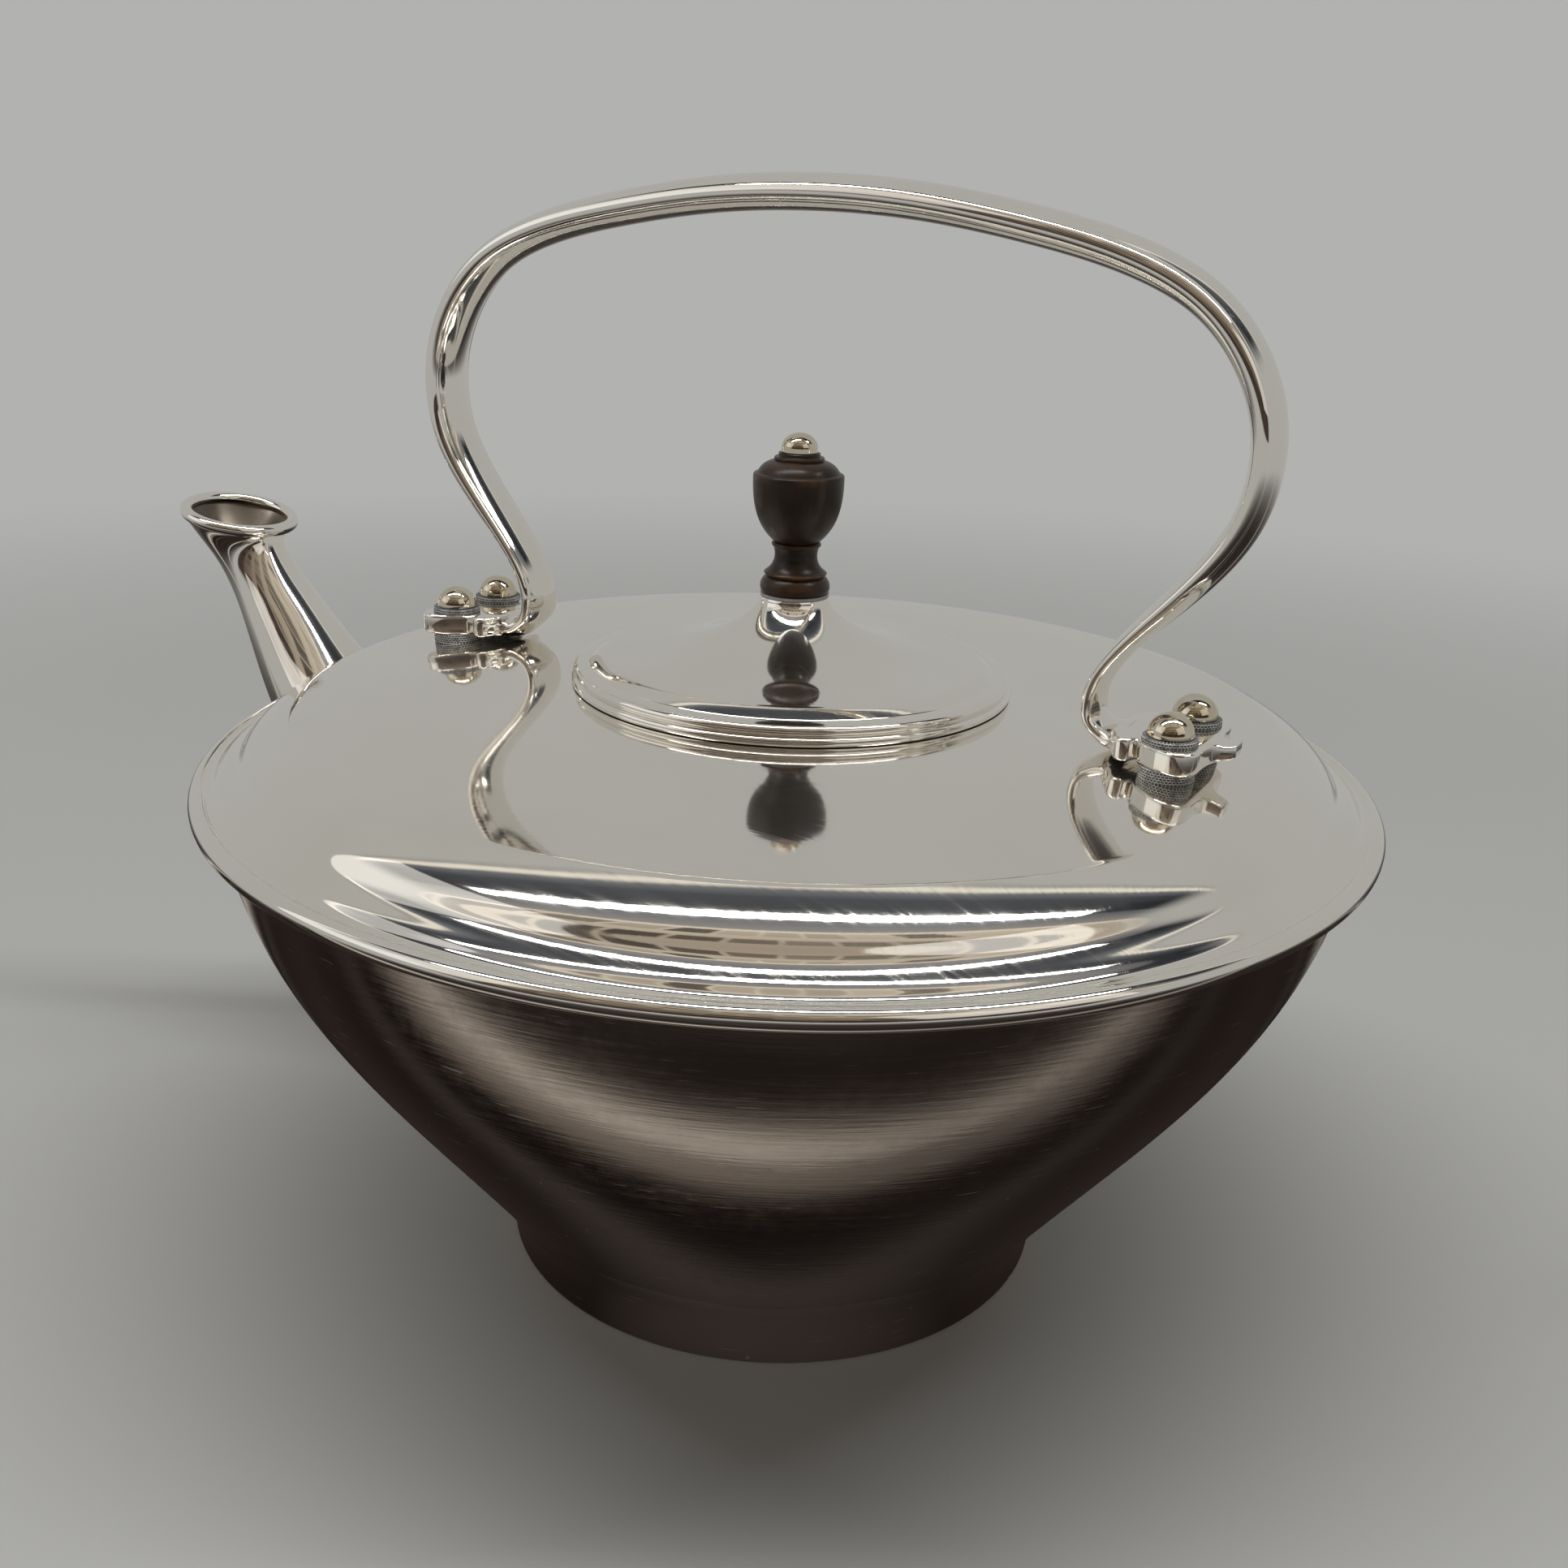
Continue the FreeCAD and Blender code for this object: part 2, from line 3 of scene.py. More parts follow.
import bmesh
import bpy
import numpy as np
from mathutils import Matrix, Vector
from mathutils.geometry import interpolate_bezier


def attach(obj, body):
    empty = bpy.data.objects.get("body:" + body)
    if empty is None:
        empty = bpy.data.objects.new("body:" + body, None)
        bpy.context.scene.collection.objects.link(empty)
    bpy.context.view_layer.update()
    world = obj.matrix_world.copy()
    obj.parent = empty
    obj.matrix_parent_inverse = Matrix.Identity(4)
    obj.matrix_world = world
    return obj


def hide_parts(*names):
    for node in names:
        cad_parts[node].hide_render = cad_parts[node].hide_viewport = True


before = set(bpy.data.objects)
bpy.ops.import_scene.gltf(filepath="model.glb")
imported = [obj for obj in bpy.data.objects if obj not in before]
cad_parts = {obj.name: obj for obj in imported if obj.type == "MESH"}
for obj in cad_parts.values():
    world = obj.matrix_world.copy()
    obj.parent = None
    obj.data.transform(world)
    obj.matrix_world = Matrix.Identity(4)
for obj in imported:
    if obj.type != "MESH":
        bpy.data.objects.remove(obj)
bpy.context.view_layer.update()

# The foot ring
# A short collar spun from plated sheet and soldered under the bowl; its flat lower edge stands on the table.
# The outside flares gently up to the seam, and the edge is eased where it has worn on table tops.

foot_sheet = 1.4
foot_radius = 51.2
seam = (57.6, 16.2)


def curve(start, leaving, leaving_pull, end, arriving, arriving_pull, steps):
    """Outline points, as (radius, height) in mm, of a curve that leaves and arrives along two directions."""
    first = Vector(start) + Vector(leaving).normalized() * leaving_pull
    last = Vector(end) - Vector(arriving).normalized() * arriving_pull
    knots = [Vector(point).to_3d() for point in (start, first, last, end)]
    return [tuple(point.xy) for point in interpolate_bezier(*knots, steps)]


def sheet_outline(outside, thickness):
    """A closed outline of sheet metal: the outside, then back along it at the thickness to its left."""
    line = np.array(outside)
    along = np.gradient(line, axis=0)
    along /= np.linalg.norm(along, axis=1)[:, None]
    inside = line + thickness * np.stack([-along[:, 1], along[:, 0]], axis=1)
    return [tuple(point) for point in line] + [tuple(point) for point in inside[::-1]]


def linear(hex_colour):
    """Linear red, green, blue and alpha of an sRGB hex colour."""
    parts = [int(hex_colour[k:k + 2], 16) / 255 for k in (1, 3, 5)]
    return [c / 12.92 if c <= 0.04045 else ((c + 0.055) / 1.055) ** 2.4 for c in parts] + [1.0]


def feed(node, inputs):
    """Set a node's inputs: plain values, sRGB hex colours, sockets, or nodes for their live output."""
    for name, value in inputs.items():
        if isinstance(value, bpy.types.Node):
            value = next(socket for socket in value.outputs if socket.enabled)
        if isinstance(value, bpy.types.NodeSocket):
            node.id_data.links.new(value, node.inputs[name])
        else:
            is_colour = isinstance(value, str) and value.startswith("#")
            node.inputs[name].default_value = linear(value) if is_colour else value


def add_node(tree, kind, inputs, **settings):
    """Add a node with its settings and inputs."""
    made = tree.nodes.new(kind)
    for name, value in settings.items():
        setattr(made, name, value)
    feed(made, inputs)
    return made


def calculate(tree, operation, *values):
    return add_node(tree, "ShaderNodeMath", dict(enumerate(values)), operation=operation)


def calculate_vector(tree, operation, *values):
    return add_node(tree, "ShaderNodeVectorMath", dict(enumerate(values)), operation=operation)


def remap(tree, value, start, end, low=0.0, high=1.0, **settings):
    """A node that takes the range from start to end to the range from low to high."""
    ends = {"Value": value, "From Min": start, "From Max": end, "To Min": low, "To Max": high}
    return add_node(tree, "ShaderNodeMapRange", ends, **settings)


def noise(tree, place, scale, detail, roughness=0.5):
    inputs = {"Vector": place, "Scale": scale, "Detail": detail, "Roughness": roughness}
    return add_node(tree, "ShaderNodeTexNoise", inputs)


def mix_colours(tree, share, first, second, **settings):
    """A node that mixes two colours; its inputs for colours are numbers 6 and 7."""
    return add_node(tree, "ShaderNodeMix", {0: share, 6: first, 7: second}, data_type="RGBA", **settings)


def bump(tree, height, strength, distance, **more):
    inputs = {"Height": height, "Strength": strength, "Distance": distance, **more}
    return add_node(tree, "ShaderNodeBump", inputs)


def start_material(name):
    """A new material: its tree, its shader and its Object coordinates."""
    material = bpy.data.materials.new(name)
    material.use_nodes = True
    tree = material.node_tree
    shader = tree.nodes["Principled BSDF"]
    place = tree.nodes.new("ShaderNodeTexCoord").outputs["Object"]
    return material, tree, shader, place


def start_group(name, inputs):
    """A geometry node group that gives one Piece: the group, its inputs, and their keys on a modifier."""
    group = bpy.data.node_groups.new(name, "GeometryNodeTree")
    keys = {}
    for label, kind in inputs.items():
        socket = group.interface.new_socket(label, in_out="INPUT", socket_type="NodeSocket" + kind)
        keys[label] = socket.identifier
    group.interface.new_socket("Piece", in_out="OUTPUT", socket_type="NodeSocketGeometry")
    return group, group.nodes.new("NodeGroupInput").outputs, keys


def end_group(group, shape, finish):
    """Make the group's shape real, give it its finish and hand it out."""
    real = add_node(group, "GeometryNodeRealizeInstances", {"Geometry": shape})
    dressed = add_node(group, "GeometryNodeSetMaterial", {"Geometry": real, "Material": finish})
    add_node(group, "NodeGroupOutput", {"Piece": dressed})


def settle(piece, sharp_angle):
    """Make the evaluated piece a plain mesh with outward faces, smooth up to an angle in degrees."""
    evaluated = piece.evaluated_get(bpy.context.evaluated_depsgraph_get())
    mesh = bpy.data.meshes.new_from_object(evaluated)
    piece.modifiers.clear()
    piece.data = mesh
    shape = bmesh.new()
    shape.from_mesh(mesh)
    bmesh.ops.remove_doubles(shape, verts=shape.verts, dist=1e-7)
    bmesh.ops.recalc_face_normals(shape, faces=shape.faces)
    for face in shape.faces:
        face.smooth = True
    shape.to_mesh(mesh)
    shape.free()
    mesh.set_sharp_from_angle(angle=math.radians(sharp_angle))
    return piece


def work(piece, group, keys, values, sharp_angle):
    """Run a node group on a piece, with values by label, and settle what comes out."""
    modifier = piece.modifiers.new(group.name, "NODES")
    modifier.node_group = group
    for label, value in values.items():
        modifier[keys[label]] = value
    return settle(piece, sharp_angle)


def new_piece(name, verts, edges, faces):
    mesh = bpy.data.meshes.new(name)
    mesh.from_pydata(verts, edges, faces)
    piece = bpy.data.objects.new(name, mesh)
    bpy.context.scene.collection.objects.link(piece)
    return piece


# The lathe: an outline drawn as a mesh line is swept round the pot's axis, on a circle of 1 m.
lathe, given, lathe_keys = start_group("turn_on_the_lathe", {
    "Outline": "Geometry", "Steps round": "Int", "Material": "Material"})
profile = add_node(lathe, "GeometryNodeMeshToCurve", {"Mesh": given["Outline"]})
circle = {"Resolution": given["Steps round"], "Radius": 1.0}
circle = add_node(lathe, "GeometryNodeCurvePrimitiveCircle", circle)
level = add_node(lathe, "GeometryNodeSetCurveNormal", {"Curve": circle, "Normal": (0, 0, 1)}, mode="FREE")
swept = add_node(lathe, "GeometryNodeCurveToMesh", {"Curve": level, "Profile Curve": profile})
closed = add_node(lathe, "GeometryNodeMergeByDistance", {"Geometry": swept, "Distance": 1e-6})
end_group(lathe, closed, given["Material"])


def turn(name, outline, metal, steps=256, sharp_angle=32, closed_outline=True):
    """Turn an outline in mm on the lathe, without points that lie too close to be told apart."""
    closest = 0.004
    kept = [outline[0]]
    for point in outline[1:]:
        if math.dist(point, kept[-1]) > closest:
            kept.append(point)
    if closed_outline and math.dist(kept[0], kept[-1]) < closest:
        kept.pop()
    count = len(kept)
    edges = [(k, k + 1) for k in range(count - 1)] + ([(count - 1, 0)] if closed_outline else [])
    verts = [(height / 1000, radius / 1000 - 1.0, 0) for radius, height in kept]
    piece = new_piece(name, verts, edges, [])
    return work(piece, lathe, lathe_keys, {"Steps round": steps, "Material": metal}, sharp_angle)


# Silver plate rubbed with cloths for decades: still a mirror from far off, but soft close to.
# The eye gets a grey sheen drawn out round the pot, fine turning lines, scratches and small scuffs; the
# scratches and nicks are also painted paler, a painted glint for the light they catch.
worn_silver, tree, shader, place = start_material("silver plate, spun and worn")
split = add_node(tree, "ShaderNodeSeparateXYZ", {"Vector": place}).outputs
round_way = calculate(tree, "ARCTAN2", split["Y"], split["X"])
out_way = calculate_vector(tree, "MULTIPLY", place, (1, 1, 0))
out_way = calculate_vector(tree, "LENGTH", out_way)
# turning lines are really about 0.1 mm apart; 0.7 mm is the finest that shows here
rings = add_node(tree, "ShaderNodeCombineXYZ", {"X": out_way, "Y": split["Z"]})
rings = calculate_vector(tree, "MULTIPLY", rings, (1000 / 0.7, 1000 / 0.7, 0))
drift = add_node(tree, "ShaderNodeCombineXYZ", {"Z": round_way})
drift = calculate_vector(tree, "MULTIPLY", drift, (0, 0, 5.0))
lines = noise(tree, calculate_vector(tree, "ADD", rings, drift), 1.0, 3.0, 0.6)
patches = noise(tree, place, 1000 / 30, 4.0)
scuffs = noise(tree, place, 1000 / 2.5, 6.0, 0.7)
marks_and_glint = add_node(tree, "ShaderNodeTexVoronoi", {"Vector": place, "Scale": 1000 / 9, "Randomness": 1.0})
marks_and_glint = remap(tree, marks_and_glint, 0.05, 0.03)
# scratches are a few hundredths of a mm wide; they are drawn 0.35 mm wide and 7 mm long to show at all
for slope in ((1.1, 0.3, 0.5), (-0.8, 0.9, -0.4), (0.3, -0.2, 1.2)):
    way = {"Vector": place, "Rotation": slope, "Scale": (1000 / 7, 1000 / 7, 1000 / 0.35)}
    way = add_node(tree, "ShaderNodeMapping", way)
    scratch = remap(tree, noise(tree, way, 1.0, 0.0), 0.81, 0.88)
    marks_and_glint = calculate(tree, "MAXIMUM", marks_and_glint, scratch)
tint = mix_colours(tree, patches, "#B3AAA1", "#CDC5BB")
# scratches and nicks are real rougher marks, and are painted paler as a painted glint
tint = mix_colours(tree, marks_and_glint, tint, "#E2DDD6")
dull = remap(tree, calculate(tree, "MULTIPLY", patches, scuffs), 0.1, 0.45, 0.1, 0.24)
streaks = remap(tree, lines, 0.3, 0.7, -0.05, 0.05)
dull = calculate(tree, "ADD", dull, streaks)
dull = calculate(tree, "MULTIPLY_ADD", marks_and_glint, 0.25, dull)
relief = bump(tree, lines, 0.5, 0.00006)
relief = bump(tree, scuffs, 0.25, 0.00005, Normal=relief)
feed(shader, {"Base Color": tint, "Roughness": dull, "Normal": relief, "Metallic": 1.0})

foot_outside = [(foot_radius - 0.5, 0.0), (foot_radius - 0.15, 0.12), (foot_radius, 0.45)]
foot_outside += curve((foot_radius, 0.6), (0, 1), 7.7, seam, (0.55, 1), 4.4, 40)
foot = turn("foot_ring_spun", sheet_outline(foot_outside, foot_sheet), worn_silver)
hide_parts("foot_ring")
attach(foot, "pot")

# The bowl
# The vessel, spun from one disc of plated sheet; the foot, the rim wire and the spout are soldered to it.
# Behind the spout its wall is drilled as a strainer.

sheet = 1.0
floor_radius = 40.0
floor_height = 8.5
wall_radius = 101.0
bowl_top = 94.2

bowl_outside = [(0.0, floor_height), (floor_radius, floor_height)]
bowl_outside += curve((floor_radius, floor_height), (1, 0), 10.0, seam, (0.74, 1), 6.0, 24)
bowl_outside += curve(seam, (0.74, 1), 42.2, (wall_radius, bowl_top), (0.12, 1), 29.9, 96)
bowl_inside = sheet_outline(bowl_outside[1:], sheet)[len(bowl_outside) - 1:]
bowl_outline = bowl_outside + bowl_inside + [(0.0, floor_height + sheet)]
bowl = turn("bowl_spun", bowl_outline, worn_silver, closed_outline=False)

# The strainer: one hole in the middle and two rings of holes round it, drilled square to the wall.
strainer, given, strainer_keys = start_group("drill_the_strainer", {
    "Bowl": "Geometry", "Hole radius": "Float", "Hole pitch": "Float", "Middle": "Vector", "Slope": "Vector",
    "Material": "Material"})
outer_pitch = calculate(strainer, "MULTIPLY", given["Hole pitch"], 2.0)
middle_hole = add_node(strainer, "GeometryNodeMeshLine", {"Count": 1})
inner_ring = add_node(strainer, "GeometryNodeMeshCircle", {"Vertices": 6, "Radius": given["Hole pitch"]})
outer_ring = add_node(strainer, "GeometryNodeMeshCircle", {"Vertices": 12, "Radius": outer_pitch})
spots = add_node(strainer, "GeometryNodeJoinGeometry", {})
for ring in (middle_hole, inner_ring, outer_ring):
    feed(spots, {0: ring})
drill = {"Vertices": 16, "Radius": given["Hole radius"], "Depth": 0.02}
drill = add_node(strainer, "GeometryNodeMeshCylinder", drill)
drills = add_node(strainer, "GeometryNodeInstanceOnPoints", {"Points": spots, "Instance": drill})
drills = add_node(strainer, "GeometryNodeRealizeInstances", {"Geometry": drills})
aimed = {"Geometry": drills, "Translation": given["Middle"], "Rotation": given["Slope"]}
aimed = add_node(strainer, "GeometryNodeTransform", aimed)
pierced = add_node(strainer, "GeometryNodeMeshBoolean", {"Mesh 1": given["Bowl"], "Mesh 2": aimed},
                   operation="DIFFERENCE", solver="EXACT")
end_group(strainer, pierced, given["Material"])
work(bowl, strainer, strainer_keys, {
    "Hole radius": 0.0015, "Hole pitch": 0.0052, "Middle": (-0.096, 0.0, 0.0707),
    "Slope": (0.0, math.radians(-121), 0.0), "Material": worn_silver}, 32)
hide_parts("bowl")
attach(bowl, "pot")

# The shoulder
# The top of the pot, spun as a shallow dome with a rolled edge, a small step and a flat flange at the rim.
# It is polished to a mirror, and is soldered to the bowl's edge.

rim_radius = 105.0
rim_height = 93.2
bead_radius = 1.8
mouth_radius = 34.55
dome_radius = 87.7
dome_height = 105.3
dome_rise = 4.4
dome_sphere = (dome_radius ** 2 + dome_rise ** 2) / (2 * dome_rise)


def dome_at(radius):
    """Height of the shoulder's dome at a radius, in mm."""
    return dome_height + dome_rise - dome_sphere + math.sqrt(dome_sphere ** 2 - radius ** 2)


def smooth_through(points, steps, leaving=None, arriving=None):
    """A curve through points with an even bend, in steps per span; its ends may have set directions."""
    knots = np.array(points, float)
    span = np.linalg.norm(np.diff(knots[:, :2], axis=0), axis=1)
    count = len(knots)
    left = np.zeros((count, count))
    right = np.zeros_like(knots)
    for k in range(1, count - 1):
        left[k, k - 1:k + 2] = 1 / span[k - 1], 2 / span[k - 1] + 2 / span[k], 1 / span[k]
        right[k] = 3 * ((knots[k] - knots[k - 1]) / span[k - 1] ** 2
                        + (knots[k + 1] - knots[k]) / span[k] ** 2)
    left[0, :2], right[0] = (2, 1), 3 * (knots[1] - knots[0]) / span[0]
    left[-1, -2:], right[-1] = (1, 2), 3 * (knots[-1] - knots[-2]) / span[-1]
    if leaving is not None:
        left[0, :2], right[0] = (1, 0), leaving
        left[-1, -2:], right[-1] = (0, 1), arriving
    slope = np.linalg.solve(left, right)
    found = [knots[0]]
    for k in range(count - 1):
        for step in range(1, steps + 1):
            t = step / steps
            found.append((1 + 2 * t) * (1 - t) ** 2 * knots[k] + t * (1 - t) ** 2 * span[k] * slope[k]
                         + t * t * (3 - 2 * t) * knots[k + 1] + t * t * (t - 1) * span[k] * slope[k + 1])
    return [tuple(point) for point in found]


# Silver plate buffed on a wheel: a clear mirror with a warm cast, under a faint haze of old polish.
# The eye gets sharp reflections, faint hairlines from cloths and a few duller finger-worn patches.
bright_silver, tree, shader, place = start_material("silver plate, wheel polished")
patches = noise(tree, place, 1000 / 45, 3.0)
tint = mix_colours(tree, patches, "#E8E3D8", "#F6F3ED")
# hairlines are a few hundredths of a mm wide; they are drawn 0.5 mm wide and up to 30 mm long to show at all
hairs = []
for slope, length in (((0.3, 0.2, 0.6), 25), ((0.1, 0.4, -0.9), 30)):
    way = {"Vector": place, "Rotation": slope, "Scale": (1000 / length, 1000 / 0.5, 1000 / length)}
    way = add_node(tree, "ShaderNodeMapping", way)
    hairs.append(noise(tree, way, 1.0, 2.0))
crossed = calculate(tree, "MULTIPLY", *hairs)
dull = remap(tree, calculate(tree, "MULTIPLY", patches, crossed), 0.05, 0.25, 0.03, 0.1)
relief = bump(tree, crossed, 0.12, 0.00002)
feed(shader, {"Base Color": tint, "Roughness": dull, "Normal": relief, "Metallic": 1.0,
              "Coat Weight": 0.5, "Coat Roughness": 0.45})

# inset from the rim's edge and rise above the rim wire's middle
shoulder_steps = [(17.3, 12.1), (12.6, 9.6), (9.6, 7.0), (8.1, 5.0), (6.4, 3.75), (4.9, 2.75), (3.6, 1.65),
                  (1.8, 1.5)]
shoulder_points = [(rim_radius - inset, rim_height + rise) for inset, rise in shoulder_steps]
dome_line = [(r, dome_at(r)) for r in np.linspace(mouth_radius, dome_radius, 60)]
# the roll breaks from the dome at a clear edge
roll_line = smooth_through(shoulder_points, 10, leaving=(1, -0.45), arriving=(1, 0))
shoulder = turn("shoulder_spun", sheet_outline(dome_line + roll_line[1:], -sheet), bright_silver, steps=320)
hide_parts("shoulder")
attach(shoulder, "pot")

# The rim wire
# Round wire bent to a hoop and soldered over the seam of bowl and shoulder; the widest part of the pot.

bead_circle = rim_radius - bead_radius
bead_outline = [(bead_circle + bead_radius * math.cos(a), rim_height + bead_radius * math.sin(a))
                for a in np.linspace(0, 2 * math.pi, 33)[:-1]]
bead = turn("rim_wire", bead_outline, bright_silver, steps=320)
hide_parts("rim_bead")
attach(bead, "pot")

# The lid's seat
# A plain ring soldered into the mouth; the lid's bezel drops into it.
# Only its top edge can be seen with the lid off.


def dress(node, finish):
    """Give a CAD node that stays in sight its finish."""
    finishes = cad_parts[node].data.materials
    finishes.clear()
    finishes.append(finish)


dress("lid_seat_ring", bright_silver)

# The spout
# A tapered tube of plated sheet, seamed and dressed round, cut to the bowl's curve and soldered on.
# It leans away from the rim and opens in a trumpet mouth.

spout_wall = 1.3
# reach past the rim, rise above the rim wire, lean from the vertical in degrees, outer radius
spout_stations = [(-33.0, -29.2, 75.0, 17.0), (-4.5, -17.7, 52.0, 15.0), (13.6, -1.2, 38.0, 10.9),
                  (21.8, 10.4, 36.0, 8.4), (28.0, 19.4, 31.0, 7.1), (31.4, 25.4, 12.0, 8.6),
                  (32.8, 29.2, -11.0, 11.6)]
spout_line = np.array(smooth_through(spout_stations, 12))
spout_place = np.linspace(0, 1, len(spout_line))
bowl_side = np.array(bowl_outside[1:])


def spout_point(share, turn_angle, thinner):
    """A point of the tube's skin: a share along it, an angle round it, and how far inside its outer skin."""
    reach, rise, lean, radius = (np.interp(share, spout_place, spout_line[:, k]) for k in range(4))
    lean = math.radians(lean)
    out = (radius - thinner) * math.cos(turn_angle)
    return Vector((-rim_radius - reach + out * math.cos(lean), (radius - thinner) * math.sin(turn_angle),
                   rim_height + rise + out * math.sin(lean)))


def spout_root(turn_angle, thinner):
    """How far along the tube its skin comes out of the bowl's wall, with 0.3 mm left in the solder."""
    for share in np.linspace(0.9, 0.0, 500):
        point = spout_point(share, turn_angle, thinner)
        if math.hypot(point.x, point.y) < np.interp(point.z, bowl_side[:, 1], bowl_side[:, 0]) - 0.3:
            return share
    return 0.0


def tube_mesh(name, skins, ring_count, around):
    """Closed mesh from an outer and an inner skin, each a list of rings of points."""
    verts = [point / 1000 for skin in skins for ring in skin for point in ring]
    inner = ring_count * around
    faces = []
    for ring in range(ring_count - 1):
        for k in range(around):
            a, b = ring * around + k, ring * around + (k + 1) % around
            faces.append((a, b, b + around, a + around))
            faces.append((inner + b, inner + a, inner + a + around, inner + b + around))
    last = (ring_count - 1) * around
    for k in range(around):
        b = (k + 1) % around
        faces.append((inner + k, inner + b, b, k))
        faces.append((last + k, last + b, inner + last + b, inner + last + k))
    return new_piece(name, verts, [], faces)


def mottled_metal(name, patch, detail, dark, light, dark_roughness, light_roughness):
    """A metal in dark and light patches of about so many mm, each with its roughness."""
    metal, tree, shader, place = start_material(name)
    patches = noise(tree, place, 1000 / patch, detail)
    tint = mix_colours(tree, patches, dark, light)
    dull = remap(tree, patches, 0.0, 1.0, dark_roughness, light_roughness)
    feed(shader, {"Base Color": tint, "Roughness": dull, "Metallic": 1.0})
    return metal


spout_rings, spout_around = 90, 96
spout_skins = []
for thinner in (0.0, spout_wall):
    angles = [2 * math.pi * k / spout_around for k in range(spout_around)]
    roots = [spout_root(a, thinner) for a in angles]
    spout_skins.append([[spout_point(root + (1 - root) * ring / (spout_rings - 1), a, thinner)
                         for a, root in zip(angles, roots)] for ring in range(spout_rings)])
spout = settle(tube_mesh("spout_tube", spout_skins, spout_rings, spout_around), 40)
spout.data.materials.append(bright_silver)
# A darker, duller brown plate on the tube's inner skin: the eye gets a dull brown dark inside the mouth.
darker_inner_silver = mottled_metal("silver plate, darker inside the tube", 4.0, 4.0, "#4A443D", "#857C70", 0.5, 0.22)
spout.data.materials.append(darker_inner_silver)
# the tube's faces lie outside and inside by turns
for face in spout.data.polygons:
    face.material_index = face.index % 2
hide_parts("spout")
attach(spout, "pot")

# The spout's lip
# A round wire soldered over the tube's end, so that the mouth is thick and pours cleanly.

lip_radius = 1.3
lip_around, lip_section = 96, 20
reach, rise, lean, radius = spout_stations[-1]
lip_frame = Matrix.Translation((-(rim_radius + reach), 0, rim_height + rise))
lip_frame = lip_frame @ Matrix.Rotation(math.radians(-lean), 4, "Y")
lip_verts = []
lip_faces = []
for k in range(lip_around):
    turn_angle = 2 * math.pi * k / lip_around
    for j in range(lip_section):
        side = 2 * math.pi * j / lip_section
        far = radius - spout_wall / 2 + lip_radius * math.cos(side)
        up_by = lip_radius / 2 + lip_radius * math.sin(side)
        point = Vector((far * math.cos(turn_angle), far * math.sin(turn_angle), up_by))
        lip_verts.append((lip_frame @ point) / 1000)
        n, m = (k + 1) % lip_around, (j + 1) % lip_section
        lip_faces.append((k * lip_section + j, n * lip_section + j, n * lip_section + m, k * lip_section + m))
lip = settle(new_piece("spout_lip_wire", lip_verts, [], lip_faces), 60)
lip.data.materials.append(bright_silver)
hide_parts("spout_lip")
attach(lip, "pot")

# The studs and their inner nuts
# Brass rods through the shoulder with plain hexagon nuts inside the pot; only seen by looking in at the top.
# The washer and nut of the knob's bolt, inside the lid, are of the same brass.

# Turned brass, bright once and now dulled brown in the steam.
dull_brass = mottled_metal("brass, turned and tarnished", 2.0, 5.0, "#8F6E3C", "#D6B271", 0.45, 0.25)
for node in ("handle_studs", "stud_nuts", "knob_washer", "knob_nut"):
    dress(node, dull_brass)

# The washers
# Discs of grey fabric laid up with resin, one under and one over each hole of the handle's feet.
# They keep the heat of the pot out of the handle; the weave shows at their cut edges as a pale net.

bolt_reach = 72.4
bolt_spread = 6.4
washer_radius = 4.5
washer_bore = 1.75
washer_ease = 0.15
plate_low = dome_at(math.hypot(bolt_reach, bolt_spread)) + 2.0
plate_high = plate_low + 3.9
nut_seat = plate_high + 1.0

# Four like fittings, one per stud, from one that is made at the origin.
at_studs, given, stud_keys = start_group("one_per_stud", {
    "Fitting": "Geometry", "Reach": "Float", "Spread": "Float", "Height": "Float", "Material": "Material"})
wide = calculate(at_studs, "MULTIPLY", given["Reach"], 2.0)
deep = calculate(at_studs, "MULTIPLY", given["Spread"], 2.0)
corners = {"Size X": wide, "Size Y": deep, "Vertices X": 2, "Vertices Y": 2}
corners = add_node(at_studs, "GeometryNodeMeshGrid", corners)
lifted = add_node(at_studs, "ShaderNodeCombineXYZ", {"Z": given["Height"]})
corners = add_node(at_studs, "GeometryNodeTransform", {"Geometry": corners, "Translation": lifted})
placed = add_node(at_studs, "GeometryNodeInstanceOnPoints", {"Points": corners, "Instance": given["Fitting"]})
end_group(at_studs, placed, given["Material"])


def one_per_stud(fitting, height, finish):
    values = {"Reach": bolt_reach / 1000, "Spread": bolt_spread / 1000, "Height": height / 1000,
              "Material": finish}
    return work(fitting, at_studs, stud_keys, values, 40)


def unroll_edge(piece, radius):
    """Lay the piece's round edge out flat in a UV map, in mm round and mm up."""
    layer = piece.data.uv_layers.new(name="edge")
    for face in piece.data.polygons:
        middle = math.atan2(face.center.y, face.center.x)
        for corner in face.loop_indices:
            spot = piece.data.vertices[piece.data.loops[corner].vertex_index].co
            off = math.remainder(math.atan2(spot.y, spot.x) - middle, 2 * math.pi)
            layer.data[corner].uv = ((middle + off) * radius, spot.z * 1000)


# Fabric and resin, cut and turned: dark grey, with a pale net of threads round the edge.
laid_fabric, tree, shader, place = start_material("fabric and resin, turned")
edge = add_node(tree, "ShaderNodeUVMap", {}, uv_map="edge")
threads = add_node(tree, "ShaderNodeTexBrick", {
    "Vector": edge, "Color1": "#26272A", "Color2": "#505154", "Mortar": "#D6D6D2", "Scale": 1.0,
    "Mortar Size": 0.08, "Mortar Smooth": 0.4, "Brick Width": 0.6, "Row Height": 0.42})
grime = noise(tree, place, 1000 / 1.2, 3.0)
worn = remap(tree, grime, 0.3, 0.55)
tint = mix_colours(tree, worn, "#5C5D5F", threads)
dull = remap(tree, grime, 0.0, 1.0, 0.75, 0.5)
relief = bump(tree, threads.outputs["Fac"], 0.5, 0.00008)
feed(shader, {"Base Color": tint, "Roughness": dull, "Normal": relief})

